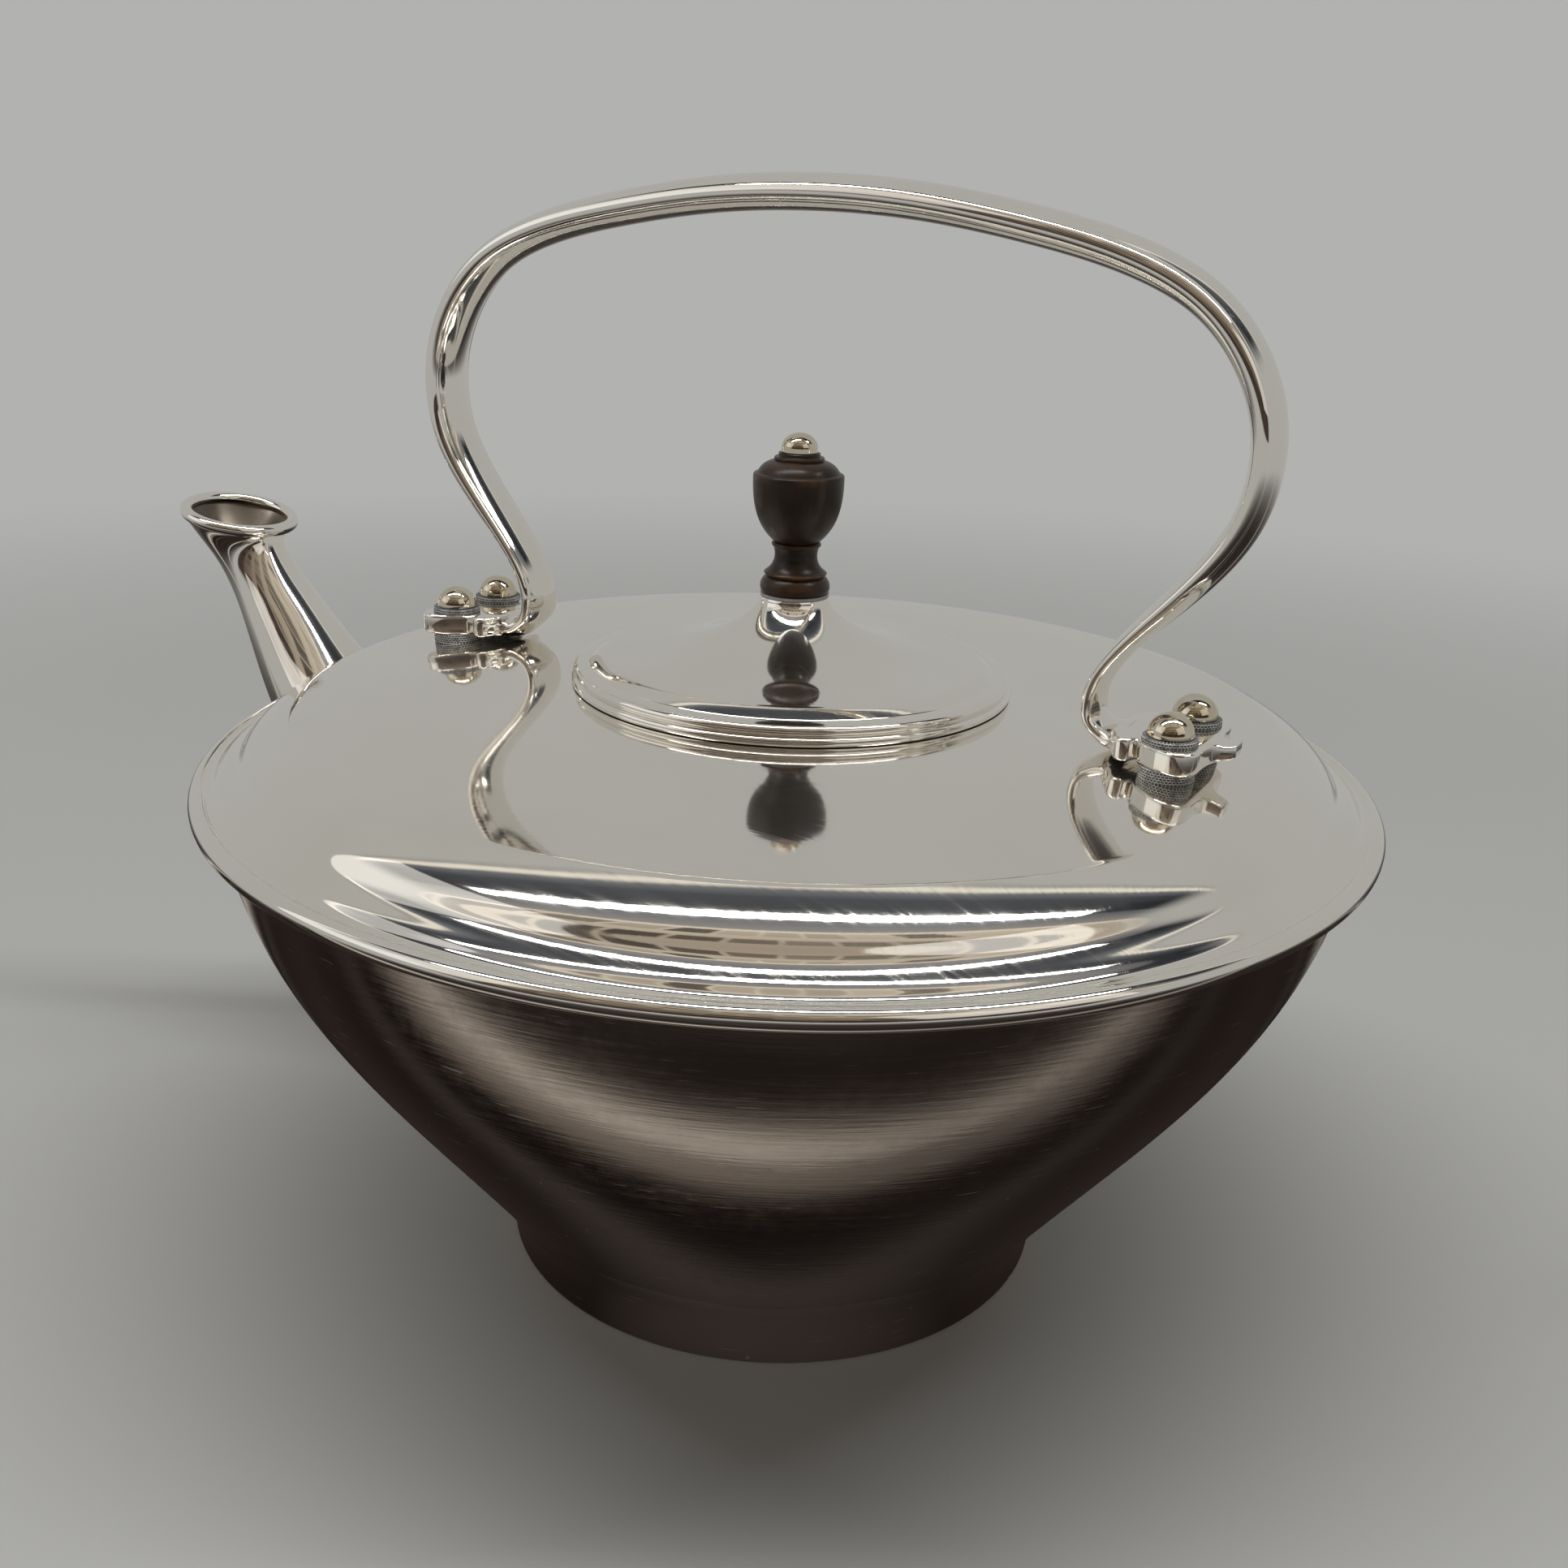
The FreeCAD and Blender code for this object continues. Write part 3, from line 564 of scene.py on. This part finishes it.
for name, node, low, high in (("washers_under", "lower_washers", plate_low - 2.15, plate_low),
                              ("washers_over", "upper_washers", plate_high, nut_seat)):
    thick = high - low
    eased = washer_radius - washer_ease
    washer_outline = [(washer_bore, 0), (eased, 0), (washer_radius, washer_ease),
                      (washer_radius, thick - washer_ease), (eased, thick), (washer_bore, thick)]
    washer = turn(name, washer_outline, laid_fabric, steps=64)
    unroll_edge(washer, washer_radius)
    one_per_stud(washer, low, laid_fabric)
    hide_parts(node)
    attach(washer, "pot")

# The handle's feet
# Small leaf-shaped castings: a fan and a collar at the rod's end, a notch, two lobes for the studs and a tip
# that turns up. They are brazed to the rod and polished all over.

rod_height = (plate_low + plate_high) / 2
neck = bolt_reach - 10.86
tip = bolt_reach + 9.4
tip_start = tip - 4.6
leaf_bevel = 0.8


def bulge(start, middle, end, steps):
    """Outline points of a round swelling from start to end through a middle point."""
    (ax, ay), (bx, by), (cx, cy) = start, middle, end
    aa, bb, cc = (x * x + y * y for x, y in (start, middle, end))
    d = 2 * (ax * (by - cy) + bx * (cy - ay) + cx * (ay - by))
    ux = (aa * (by - cy) + bb * (cy - ay) + cc * (ay - by)) / d
    uy = (aa * (cx - bx) + bb * (ax - cx) + cc * (bx - ax)) / d
    radius = math.dist((ux, uy), start)
    first, mid, last = (math.atan2(y - uy, x - ux) for x, y in (start, middle, end))
    way = math.remainder(mid - first, 2 * math.pi) + math.remainder(last - mid, 2 * math.pi)
    return [(ux + radius * math.cos(first + way * k / steps), uy + radius * math.sin(first + way * k / steps))
            for k in range(steps + 1)]


def leaf_outline():
    """Half of the leaf in plan, from the fan to the tip, as (distance from the pot's axis, half width)."""
    fan = curve((neck + 0.6, 5.4), (1, 0.4), 0.8, (neck + 2.3, 8.2), (0.5, 1), 0.8, 6)
    collar = bulge((neck + 2.6, 8.7), (neck + 3.7, 9.2), (neck + 5.0, 8.7), 6)
    notch = [(neck + 5.7, 7.2), (neck + 6.4, 8.6)]
    side = curve((neck + 6.5, 8.8), (1, 0.6), 2.4, (bolt_reach + 1.8, 12.0), (1, 0.15), 2.4, 10)
    lobe = curve(side[-1], (1, 0.15), 2.2, (bolt_reach + 5.6, 8.4), (0, -1), 2.2, 10)
    hollow = curve(lobe[-1], (0, -1), 4.2, (tip - 1.8, 2.2), (1, -0.1), 2.0, 10)
    return fan + collar + notch + side + lobe[1:] + hollow[1:] + [(tip - 0.35, 1.9), (tip, 1.6)]


def make_leaf(name, side):
    half = leaf_outline()
    outline = half + [(u, -v) for u, v in half[::-1]]
    shape = bmesh.new()
    bottom = shape.faces.new([shape.verts.new((u, v, plate_low)) for u, v in outline])
    lifted = bmesh.ops.extrude_face_region(shape, geom=[bottom])["geom"]
    for vert in lifted:
        if isinstance(vert, bmesh.types.BMVert):
            vert.co.z = plate_high
    bmesh.ops.recalc_face_normals(shape, faces=shape.faces)
    rims = [e for e in shape.edges if abs(e.verts[0].co.z - e.verts[1].co.z) < 0.01]
    bmesh.ops.bevel(shape, geom=rims, offset=leaf_bevel, segments=6, affect="EDGES", profile=0.5,
                    clamp_overlap=True)
    for cut in np.linspace(tip_start, tip - 0.6, 11):
        everything = shape.verts[:] + shape.edges[:] + shape.faces[:]
        bmesh.ops.bisect_plane(shape, geom=everything, plane_co=(cut, 0, 0), plane_no=(1, 0, 0))
    for vert in shape.verts:
        # the tip thins as it leaves the leaf and turns up at its end
        past = min(1.0, max(0.0, vert.co.x - tip_start) / 3.0)
        past = past * past * (3 - 2 * past)
        share = (vert.co.z - plate_low) / (plate_high - plate_low)
        lip = max(0.0, vert.co.x - (tip - 2.0)) / 2.0
        vert.co.z += past * (1.0 - 1.5 * share) + 0.5 * lip * lip
    bmesh.ops.scale(shape, vec=(side / 1000, side / 1000, 1 / 1000), verts=shape.verts)
    leaf = new_piece(name, [], [], [])
    shape.to_mesh(leaf.data)
    shape.free()
    leaf.data.materials.append(bright_silver)
    return settle(leaf, 40)


for name, node, side in (("handle_leaf_front", "handle_foot_front", 1),
                         ("handle_leaf_spout", "handle_foot_spout", -1)):
    leaf = make_leaf(name, side)
    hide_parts(node)
    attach(leaf, "pot")

# The handle
# A flattened silver bar with a reed along each edge, bent to an arch with in-curving legs, brazed to the feet.
# It thins from the grip down to the ankles, and the arch leans a little away from the spout.

# arc radius, turn in degrees and knots from a foot upwards; a turn of 0 is a straight of that length
rod_runs = [(4.34, -90.0, 3), (14.5, -40.0, 2), (19.9, 0.0, 2), (26.6, 73.7, 4), (32.4, 39.5, 2)]
rod_thicks = [3.6, 3.5, 3.4, 4.7, 5.6, 6.0, 6.2]
rod_breadths = [9.4, 9.4, 9.4, 10.2, 10.4, 10.4, 10.4]
rod_lean = 1.8


def rod_knots():
    """Half of the handle's middle line, foot to crown: distance from the axis, height, thickness, breadth."""
    x, z, heading = neck, rod_height, 180.0
    found = [(x + 2.6, z - 0.2, 4.6, 16.4), (x + 1.3, z - 0.3, 4.8, 12.2), (x - 0.2, z - 0.3, 4.6, 10.0)]
    runs = list(rod_runs)
    for index in range(len(rod_runs) + 1):
        if index == len(rod_runs):
            rest = 180.0 - heading
            runs.append((x / math.sin(math.radians(rest)), rest, 3))
        size, turned, steps = runs[index]
        for step in range(1, steps + 1):
            now = math.radians(heading + turned * step / steps)
            was = math.radians(heading)
            if turned:
                far = math.copysign(size, turned)
                spot = (x + far * (math.sin(now) - math.sin(was)), z - far * (math.cos(now) - math.cos(was)))
            else:
                spot = (x + size * step / steps * math.cos(was), z + size * step / steps * math.sin(was))
            found.append(spot + tuple(sizes[index] + (sizes[index + 1] - sizes[index]) * step / steps
                                      for sizes in (rod_thicks, rod_breadths)))
        x, z = spot
        heading += turned
    return found


def rod_quarter():
    """A quarter of the bar's section, in halves of its thickness and breadth: a full face, then the reed."""
    face = [(1 - 0.47 * (v / 0.85) ** 2, v) for v in np.linspace(0, 0.85, 14)]
    reed = [(0.53 * math.cos(t), 0.85 + 0.21 * math.sin(t)) for t in np.linspace(0.12, math.pi / 2, 12)]
    return face + reed


# The bar is drawn along its path with a section of unit size, and then brought to its thickness and breadth.
rod_tree, given, rod_keys = start_group("draw_the_bar", {
    "Path": "Geometry", "Section": "Object", "Material": "Material"})
path = add_node(rod_tree, "GeometryNodeMeshToCurve", {"Mesh": given["Path"]})
across = add_node(rod_tree, "GeometryNodeSetCurveNormal", {"Curve": path, "Normal": (0, 1, 0)}, mode="FREE")
section = add_node(rod_tree, "GeometryNodeObjectInfo", {"Object": given["Section"]})
section = add_node(rod_tree, "GeometryNodeMeshToCurve", {"Mesh": section.outputs["Geometry"]})
swept = {"Curve": across, "Profile Curve": section, "Fill Caps": True}
swept = add_node(rod_tree, "GeometryNodeCurveToMesh", swept)
middle = add_node(rod_tree, "GeometryNodeInputNamedAttribute", {"Name": "middle"}, data_type="FLOAT_VECTOR")
girth = add_node(rod_tree, "GeometryNodeInputNamedAttribute", {"Name": "girth"}, data_type="FLOAT_VECTOR")
spot = add_node(rod_tree, "GeometryNodeInputPosition", {})
away = calculate_vector(rod_tree, "SUBTRACT", spot, middle)
away = calculate_vector(rod_tree, "MULTIPLY_ADD", away, girth, middle)
sized = add_node(rod_tree, "GeometryNodeSetPosition", {"Geometry": swept, "Position": away})
end_group(rod_tree, sized, given["Material"])

half = rod_knots()
whole = half + [(-x, z, thick, broad) for x, z, thick, broad in half[-2::-1]]
rise = half[-1][1] - rod_height
whole = [(x + rod_lean * (z - rod_height) / rise, z, thick, broad) for x, z, thick, broad in whole]
whole = smooth_through(whole, 10, leaving=(-1, 0, 0, 0), arriving=(-1, 0, 0, 0))
rod = new_piece("handle_rod_drawn", [(x / 1000, 0, z / 1000) for x, z, _, _ in whole],
                [(k, k + 1) for k in range(len(whole) - 1)], [])
middles = rod.data.attributes.new("middle", "FLOAT_VECTOR", "POINT")
middles.data.foreach_set("vector", [c for x, z, _, _ in whole for c in (x / 1000, 0, z / 1000)])
girths = rod.data.attributes.new("girth", "FLOAT_VECTOR", "POINT")
halves = [(thick / 2000, broad / 2000, thick / 2000) for _, _, thick, broad in whole]
girths.data.foreach_set("vector", [c for size in halves for c in size])
quarter = rod_quarter()
loop = quarter + [(-u, v) for u, v in quarter[-2::-1]]
loop += [(-u, -v) for u, v in quarter[1:]] + [(u, -v) for u, v in quarter[-2:0:-1]]
loop_edges = [(k, (k + 1) % len(loop)) for k in range(len(loop))]
section = new_piece("rod_section", [(v, u, 0) for u, v in loop], loop_edges, [])
work(rod, rod_tree, rod_keys, {"Section": section, "Material": bright_silver}, 50)
bpy.data.objects.remove(section)
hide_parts("handle_rod")
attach(rod, "pot")

# The dome nuts
# Blind nuts turned as little domes, screwed down on the washers; their plating is of a warmer colour than the
# pot's.

# Plated brass worn thin: a yellowish mirror.
warm_plate = mottled_metal("plated brass, worn thin", 3.0, 4.0, "#CBBC9C", "#E9E3D6", 0.12, 0.05)

nut_radius = 3.75
nut_height = 3.9
nut_outline = [(0.0, 0.0), (nut_radius - 0.2, 0.0), (nut_radius, 0.2)]
nut_outline += curve((nut_radius, 0.35), (0, 1), 2.0, (0.0, nut_height), (-1, 0), 2.1, 24)
nuts = turn("dome_nuts_turned", nut_outline, warm_plate, steps=64, closed_outline=False)
one_per_stud(nuts, nut_seat, warm_plate)
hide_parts("dome_nuts")
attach(nuts, "pot")

# The lid
# A spun cap that lifts off: a flat collar for the knob, a concave flare, a shallow cone and a bevelled edge.
# A bezel ring under it drops into the mouth, and a moulded wire is soldered round its edge.

lid_radius = 37.2
lid_base = dome_at(lid_radius) + 0.3
lid_edge = lid_base + 4.4
collar_radius = 6.2
collar_top = lid_base + 15.7
cone_radius = 27.0
cone_fall = 1.04
cone_slope = cone_fall / (lid_radius - cone_radius)
bevel_inset = 3.2

downhill = (1, -cone_slope)
cone_foot = (cone_radius, lid_edge + cone_fall)
bevel_start = (lid_radius - bevel_inset, lid_edge + bevel_inset * cone_slope)
bevel_foot = (lid_radius - 0.8, bevel_start[1] - 1.5)
lid_outside = [(2.2, collar_top), (collar_radius - 0.5, collar_top), (collar_radius - 0.15, collar_top - 0.1)]
lid_outside += curve((collar_radius, collar_top - 0.4), (0.05, -1), 2.2, cone_foot, downhill, 13.1, 64)
lid_outside += [(r, cone_foot[1] - cone_slope * (r - cone_radius))
                for r in np.linspace(cone_radius, bevel_start[0], 10)[1:]]
lid_outside += curve(bevel_start, (1, -0.44), 0.8, bevel_foot, (1, -0.74), 0.8, 12)[1:]
lid_outside += [(lid_radius, lid_base + 1.0), (lid_radius, lid_base)]
lid = turn("lid_spun", sheet_outline(lid_outside, -sheet), bright_silver, sharp_angle=40)
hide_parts("lid_shell")
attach(lid, "lid")

# the moulding: two reeds, and a ledge that runs in to the foot of the bevel
outer = lid_radius + 2.4
reed_low, reed_high, reed_top = lid_base - 0.22, lid_base + 1.05, bevel_foot[1] - 0.2
ledge = [(lid_radius - 0.2, lid_base), (outer - 0.4, reed_low)]
ledge += bulge((outer - 0.2, reed_low), (outer, lid_base + 0.4), (outer - 0.3, reed_high), 10)
ledge += bulge((outer - 0.75, lid_base + 1.25), (outer - 0.35, lid_base + 2.1), (outer - 1.1, reed_top), 12)
ledge += [bevel_foot, (bevel_foot[0] - 0.1, bevel_foot[1] - 0.3)]
moulding = turn("lid_moulding_wire", ledge, bright_silver, sharp_angle=50)
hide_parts("lid_moulding")
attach(moulding, "lid")

dress("lid_bezel", bright_silver)

# The knob
# A baluster turned from hardwood, stained black and waxed; a thin fibre disc keeps it off the hot lid.
# Its arrises have been handled until brown wood shows through the stain.

knob_base = collar_top + 0.5
knob_height = 24.7
knob_radius = 8.0

# Pressed fibre, worn pale at its edge: a thin light grey line under the knob.
pressed_fibre, tree, shader, place = start_material("fibre, pressed")
flecks = noise(tree, place, 1000 / 0.6, 4.0)
feed(shader, {"Base Color": mix_colours(tree, flecks, "#77777A", "#B9B8B6"), "Roughness": 0.7})
dress("knob_disc", pressed_fibre)


def fill_ramp(ramp, stops):
    """Set a ramp's stops from 0 to 1, each a position with an sRGB hex colour or a plain grey level."""
    colours = [linear(shade) if isinstance(shade, str) else (shade, shade, shade, 1) for _, shade in stops]
    elements = ramp.color_ramp.elements
    elements[0].color, elements[1].color = colours[0], colours[-1]
    for (position, _), colour in zip(stops[1:-1], colours[1:-1]):
        elements.new(position).color = colour


# Ebonised hardwood, turned and waxed: near black with a soft gloss.
# The eye gets fine upright grain and brown rubbed edges.
ebonised, tree, shader, place = start_material("hardwood, ebonised and waxed")
grain = add_node(tree, "ShaderNodeMapping", {"Vector": place, "Scale": (1000 / 0.7, 1000 / 0.7, 1000 / 14)})
grain = noise(tree, grain, 1.0, 5.0, 0.65)
stain = mix_colours(tree, grain, "#0F0C09", "#33261B")
height = add_node(tree, "ShaderNodeSeparateXYZ", {"Vector": place}).outputs["Z"]
share_up = remap(tree, height, knob_base / 1000, (knob_base + knob_height) / 1000)
arrises = add_node(tree, "ShaderNodeValToRGB", {"Fac": share_up})
fill_ramp(arrises, [(0.0, 0.1), (0.06, 0.35), (0.125, 0.1), (0.145, 1.0), (0.17, 0.05), (0.33, 0.05),
                    (0.35, 0.75), (0.375, 0.05), (0.80, 0.02), (0.835, 0.7), (0.86, 0.1), (0.94, 0.25),
                    (0.97, 0.4), (1.0, 0.1)])
chance = remap(tree, noise(tree, place, 1000 / 5.0, 4.0), 0.35, 0.65)
rubbed = calculate(tree, "MULTIPLY", arrises, chance)
tint = mix_colours(tree, rubbed, stain, "#6E4A2D")
gloss = remap(tree, grain, 0.0, 1.0, 0.24, 0.42)
relief = bump(tree, grain, 0.25, 0.00006)
feed(shader, {"Base Color": tint, "Roughness": gloss, "Normal": relief, "Specular IOR Level": 0.28})


def up(radius, height_above):
    return (radius, knob_base + height_above)


knob_outline = [up(2.15, 0), up(5.75, 0), up(5.9, 0.08)]
knob_outline += bulge(up(5.9, 0.1), up(6.2, 1.5), up(5.35, 2.9), 14)
knob_outline += [up(5.2, 3.0), up(5.25, 3.1)] + bulge(up(5.5, 3.4), up(5.6, 3.55), up(5.5, 3.75), 5)
knob_outline += bulge(up(5.4, 3.85), up(3.85, 6.1), up(4.05, 8.2), 20)
knob_outline += bulge(up(4.1, 8.3), up(4.4, 8.7), up(4.05, 9.1), 8)
knob_outline += curve(up(4.0, 9.15), (1, 0.85), 3.6, up(knob_radius, 19.9), (0, 1), 5.2, 30)
knob_outline += [up(knob_radius, 20.5)]
knob_outline += bulge(up(knob_radius - 0.03, 20.8), up(7.85, 21.0), up(7.7, 21.1), 4)
knob_outline += [up(7.25, 21.25), up(7.15, 21.4)]
knob_outline += curve(up(7.1, 21.5), (-0.55, 1), 1.1, up(4.65, 23.3), (-1, 0.3), 1.2, 12)
knob_outline += [up(4.42, 23.3)] + bulge(up(4.35, 23.36), up(4.42, 23.65), up(4.3, 23.95), 5)
knob_outline += [up(3.75, 24.0), up(3.66, 24.08), up(3.65, 24.6), up(3.55, 24.7), up(2.15, 24.7)]
knob = turn("knob_turned", knob_outline, ebonised, steps=128, sharp_angle=30)
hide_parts("knob_wood")
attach(knob, "lid")

# The knob's bolt
# A plated bolt through knob and lid with a domed head like a small bead; a washer and a nut hold it inside.

head_radius = 3.2
head_height = 3.4
shank_radius = 2.0
bolt_low = collar_top - 5.6
bolt_outline = [(0.0, bolt_low), (shank_radius - 0.2, bolt_low), (shank_radius, bolt_low + 0.2)]
bolt_outline += [up(shank_radius, knob_height), up(head_radius - 0.15, knob_height)]
bolt_outline += [up(head_radius, knob_height + 0.15)]
head_top = up(0.0, knob_height + head_height)
bolt_outline += curve(up(head_radius, knob_height + 0.8), (0, 1), 1.45, head_top, (-1, 0), 1.75, 24)
bolt = turn("knob_bolt_turned", bolt_outline, warm_plate, steps=64, closed_outline=False)
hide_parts("knob_bolt")
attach(bolt, "lid")

# The stage
# A pale plain floor that runs out into a pale surround, soft lamps, and the camera where the photo was taken.

scene = bpy.context.scene
scene.view_settings.view_transform = "Standard"
surround = "#B2B2B0"
near_side = (0.485, -0.875, 0.0)
right_side = (0.875, 0.485, 0.0)

floor_reach, floor_corners = 6, 96
floor_angles = [2 * math.pi * k / floor_corners for k in range(floor_corners)]
floor_verts = [(floor_reach * math.cos(a), floor_reach * math.sin(a), 0) for a in floor_angles]
floor = new_piece("floor", floor_verts, [], [tuple(range(floor_corners))])
floor_paint, tree, shader, place = start_material("floor paint, matt")
clouds = noise(tree, place, 3.0, 2.0)
feed(shader, {"Base Color": mix_colours(tree, clouds, "#AFAFAD", "#B5B5B3"), "Roughness": 0.85})
# beyond the pot's shadow the floor runs out into the surround for the eye; near the pot the metal mirrors, for
# glossy rays only, a glowing painted reflection: painted shade with one long painted sheen before the pot and
# one behind it, weaker to the right
far = calculate_vector(tree, "LENGTH", place)
far = remap(tree, far, 0.25, 0.9, interpolation_type="SMOOTHSTEP")
toward = calculate_vector(tree, "DOT_PRODUCT", place, near_side)
toward = calculate(tree, "ABSOLUTE", toward)
# painted reflection: bands of painted shade and bright painted sheen by distance before and behind the pot
painted_sheen = add_node(tree, "ShaderNodeValToRGB", {"Fac": remap(tree, toward, 0.0, 0.4)})
fill_ramp(painted_sheen, [(0.0, "#322A28"), (0.1, "#241E1C"), (0.138, "#46403D"), (0.148, "#221D1B"),
                  (0.175, "#15100F"), (0.195, "#2C2522"), (0.212, "#776F69"), (0.232, "#928A82"),
                  (0.2345, "#231E1C"), (0.2375, "#231E1C"), (0.24, "#BAB3AB"), (0.266, "#C8C1B9"),
                  (0.29, "#857E78"), (0.315, "#453F3C"), (0.35, "#2C2725"), (0.42, "#292422"),
                  (0.48, "#403B39"), (0.6, "#363130"), (1.0, "#4A4440")])
beside = calculate_vector(tree, "DOT_PRODUCT", place, right_side)
painted_sheen_fade = remap(tree, beside, -0.02, 0.06, 0.0, 0.5, interpolation_type="SMOOTHSTEP")
# to the right the painted sheen fades into painted shade
painted_sheen = mix_colours(tree, painted_sheen_fade, painted_sheen, "#2A2422")
ray = add_node(tree, "ShaderNodeLightPath", {}).outputs
near = calculate(tree, "SUBTRACT", 1.0, far)
near = calculate(tree, "MULTIPLY", near, ray["Is Glossy Ray"])
shown = mix_colours(tree, near, surround, painted_sheen)
glow = add_node(tree, "ShaderNodeEmission", {"Color": shown, "Strength": 1.0})
seen = calculate(tree, "MULTIPLY", ray["Is Camera Ray"], far)
seen = calculate(tree, "MAXIMUM", seen, ray["Is Glossy Ray"])
mixed = add_node(tree, "ShaderNodeMixShader", {0: seen, 1: shader, 2: glow})
feed(tree.nodes["Material Output"], {"Surface": mixed})
floor.data.materials.append(floor_paint)

# The metal mirrors a long plain room: the pale surround behind the pot, a dark ceiling over it, and beige
# walls with darker things along them on the near side. The eye sees the plain surround all round.
world = bpy.data.worlds.new("studio")
scene.world = world
world.use_nodes = True
tree = world.node_tree
sky = add_node(tree, "ShaderNodeTexCoord", {}).outputs["Generated"]
rise = add_node(tree, "ShaderNodeSeparateXYZ", {"Vector": sky}).outputs["Z"]
toward = calculate_vector(tree, "DOT_PRODUCT", sky, near_side)
beside = calculate_vector(tree, "DOT_PRODUCT", sky, right_side)
back = calculate(tree, "MULTIPLY", toward, -1.0)
# 0 at the foot of the far wall, a half overhead, 1 at the foot of the near wall
over = calculate(tree, "ARCTAN2", rise, back)
over = calculate(tree, "DIVIDE", over, math.pi)
bands = add_node(tree, "ShaderNodeValToRGB", {"Fac": over})
fill_ramp(bands, [(0.0, surround), (0.37, surround), (0.385, "#9A9A98"), (0.39, "#EDE7DC"), (0.4, "#EDE7DC"),
                  (0.405, "#6A6D72"), (0.43, "#33363D"), (0.47, "#14171C"), (0.515, "#1A1D22"),
                  (0.52, "#5A5B5E"), (0.56, "#77777A"), (0.6, "#8E8B86"), (0.605, "#E2DACE"),
                  (0.62, "#D2C9BC"), (0.70, "#B3AA9E"), (0.78, "#9A8F83"), (0.88, "#6F645B"),
                  (0.94, "#4C4039"), (1.0, "#352D29")])
along = calculate(tree, "ARCTAN2", beside, toward)
wall = add_node(tree, "ShaderNodeCombineXYZ", {"X": along, "Y": over})
things = add_node(tree, "ShaderNodeTexBrick", {
    "Vector": wall, "Color1": "#FFFCF6", "Color2": "#4E463F", "Mortar": "#FFFCF6", "Scale": 1.0,
    "Mortar Size": 0.018, "Mortar Smooth": 0.2, "Brick Width": 0.24, "Row Height": 0.075})
on_wall = remap(tree, over, 0.6, 0.62)
walls = mix_colours(tree, on_wall, bands, things, blend_type="MULTIPLY")
aside = calculate(tree, "ABSOLUTE", beside)
aside = remap(tree, aside, 0.78, 0.9, interpolation_type="SMOOTHSTEP")
ray = add_node(tree, "ShaderNodeLightPath", {}).outputs
plain = calculate(tree, "MAXIMUM", ray["Is Camera Ray"], aside)
room = mix_colours(tree, plain, walls, surround)
# it is as bright as it is written for the eye and the metal, and only a soft fill for the rest
seen = calculate(tree, "MAXIMUM", ray["Is Camera Ray"], ray["Is Glossy Ray"])
seen = calculate(tree, "MAXIMUM", seen, ray["Is Transmission Ray"])
fill = remap(tree, seen, 0.0, 1.0, 0.35, 1.0)
feed(tree.nodes["Background"], {"Color": room, "Strength": fill})


def softbox(name, place, aim, width, depth, power):
    lamp = bpy.data.lights.new(name, "AREA")
    lamp.shape = "RECTANGLE"
    lamp.size, lamp.size_y, lamp.energy = width, depth, power
    holder = bpy.data.objects.new(name, lamp)
    holder.location = place
    holder.rotation_euler = (Vector(aim) - Vector(place)).to_track_quat("-Z", "Y").to_euler()
    scene.collection.objects.link(holder)


softbox("lamp_over", (0.055, -0.1, 1.15), (0, 0, 0.05), 1.8, 0.085, 13)
softbox("lamp_left", (-0.9, -0.9, 0.8), (0, 0, 0.1), 1.2, 0.9, 1.6)
softbox("lamp_right", (1.2, -0.4, 0.8), (0, 0, 0.1), 1.0, 0.8, 1.2)

# the lens and the place come from a fit to the ellipses of the rim, the lid and the foot
photo_width, focal_length = 1932, 2100
camera = bpy.data.cameras.new("camera")
camera.sensor_width = 36.0
camera.lens = 36.0 * focal_length / photo_width
camera.clip_start = 0.01
eye = bpy.data.objects.new("camera", camera)
heading, pitch, roll = math.radians(29.127), math.radians(19.089), math.radians(2.059)
eye.matrix_world = (Matrix.Translation((0.14476, -0.26115, 0.19241)) @ Matrix.Rotation(heading, 4, "Z")
                    @ Matrix.Rotation(math.pi / 2 - pitch, 4, "X") @ Matrix.Rotation(roll, 4, "Z"))
scene.collection.objects.link(eye)
scene.camera = eye
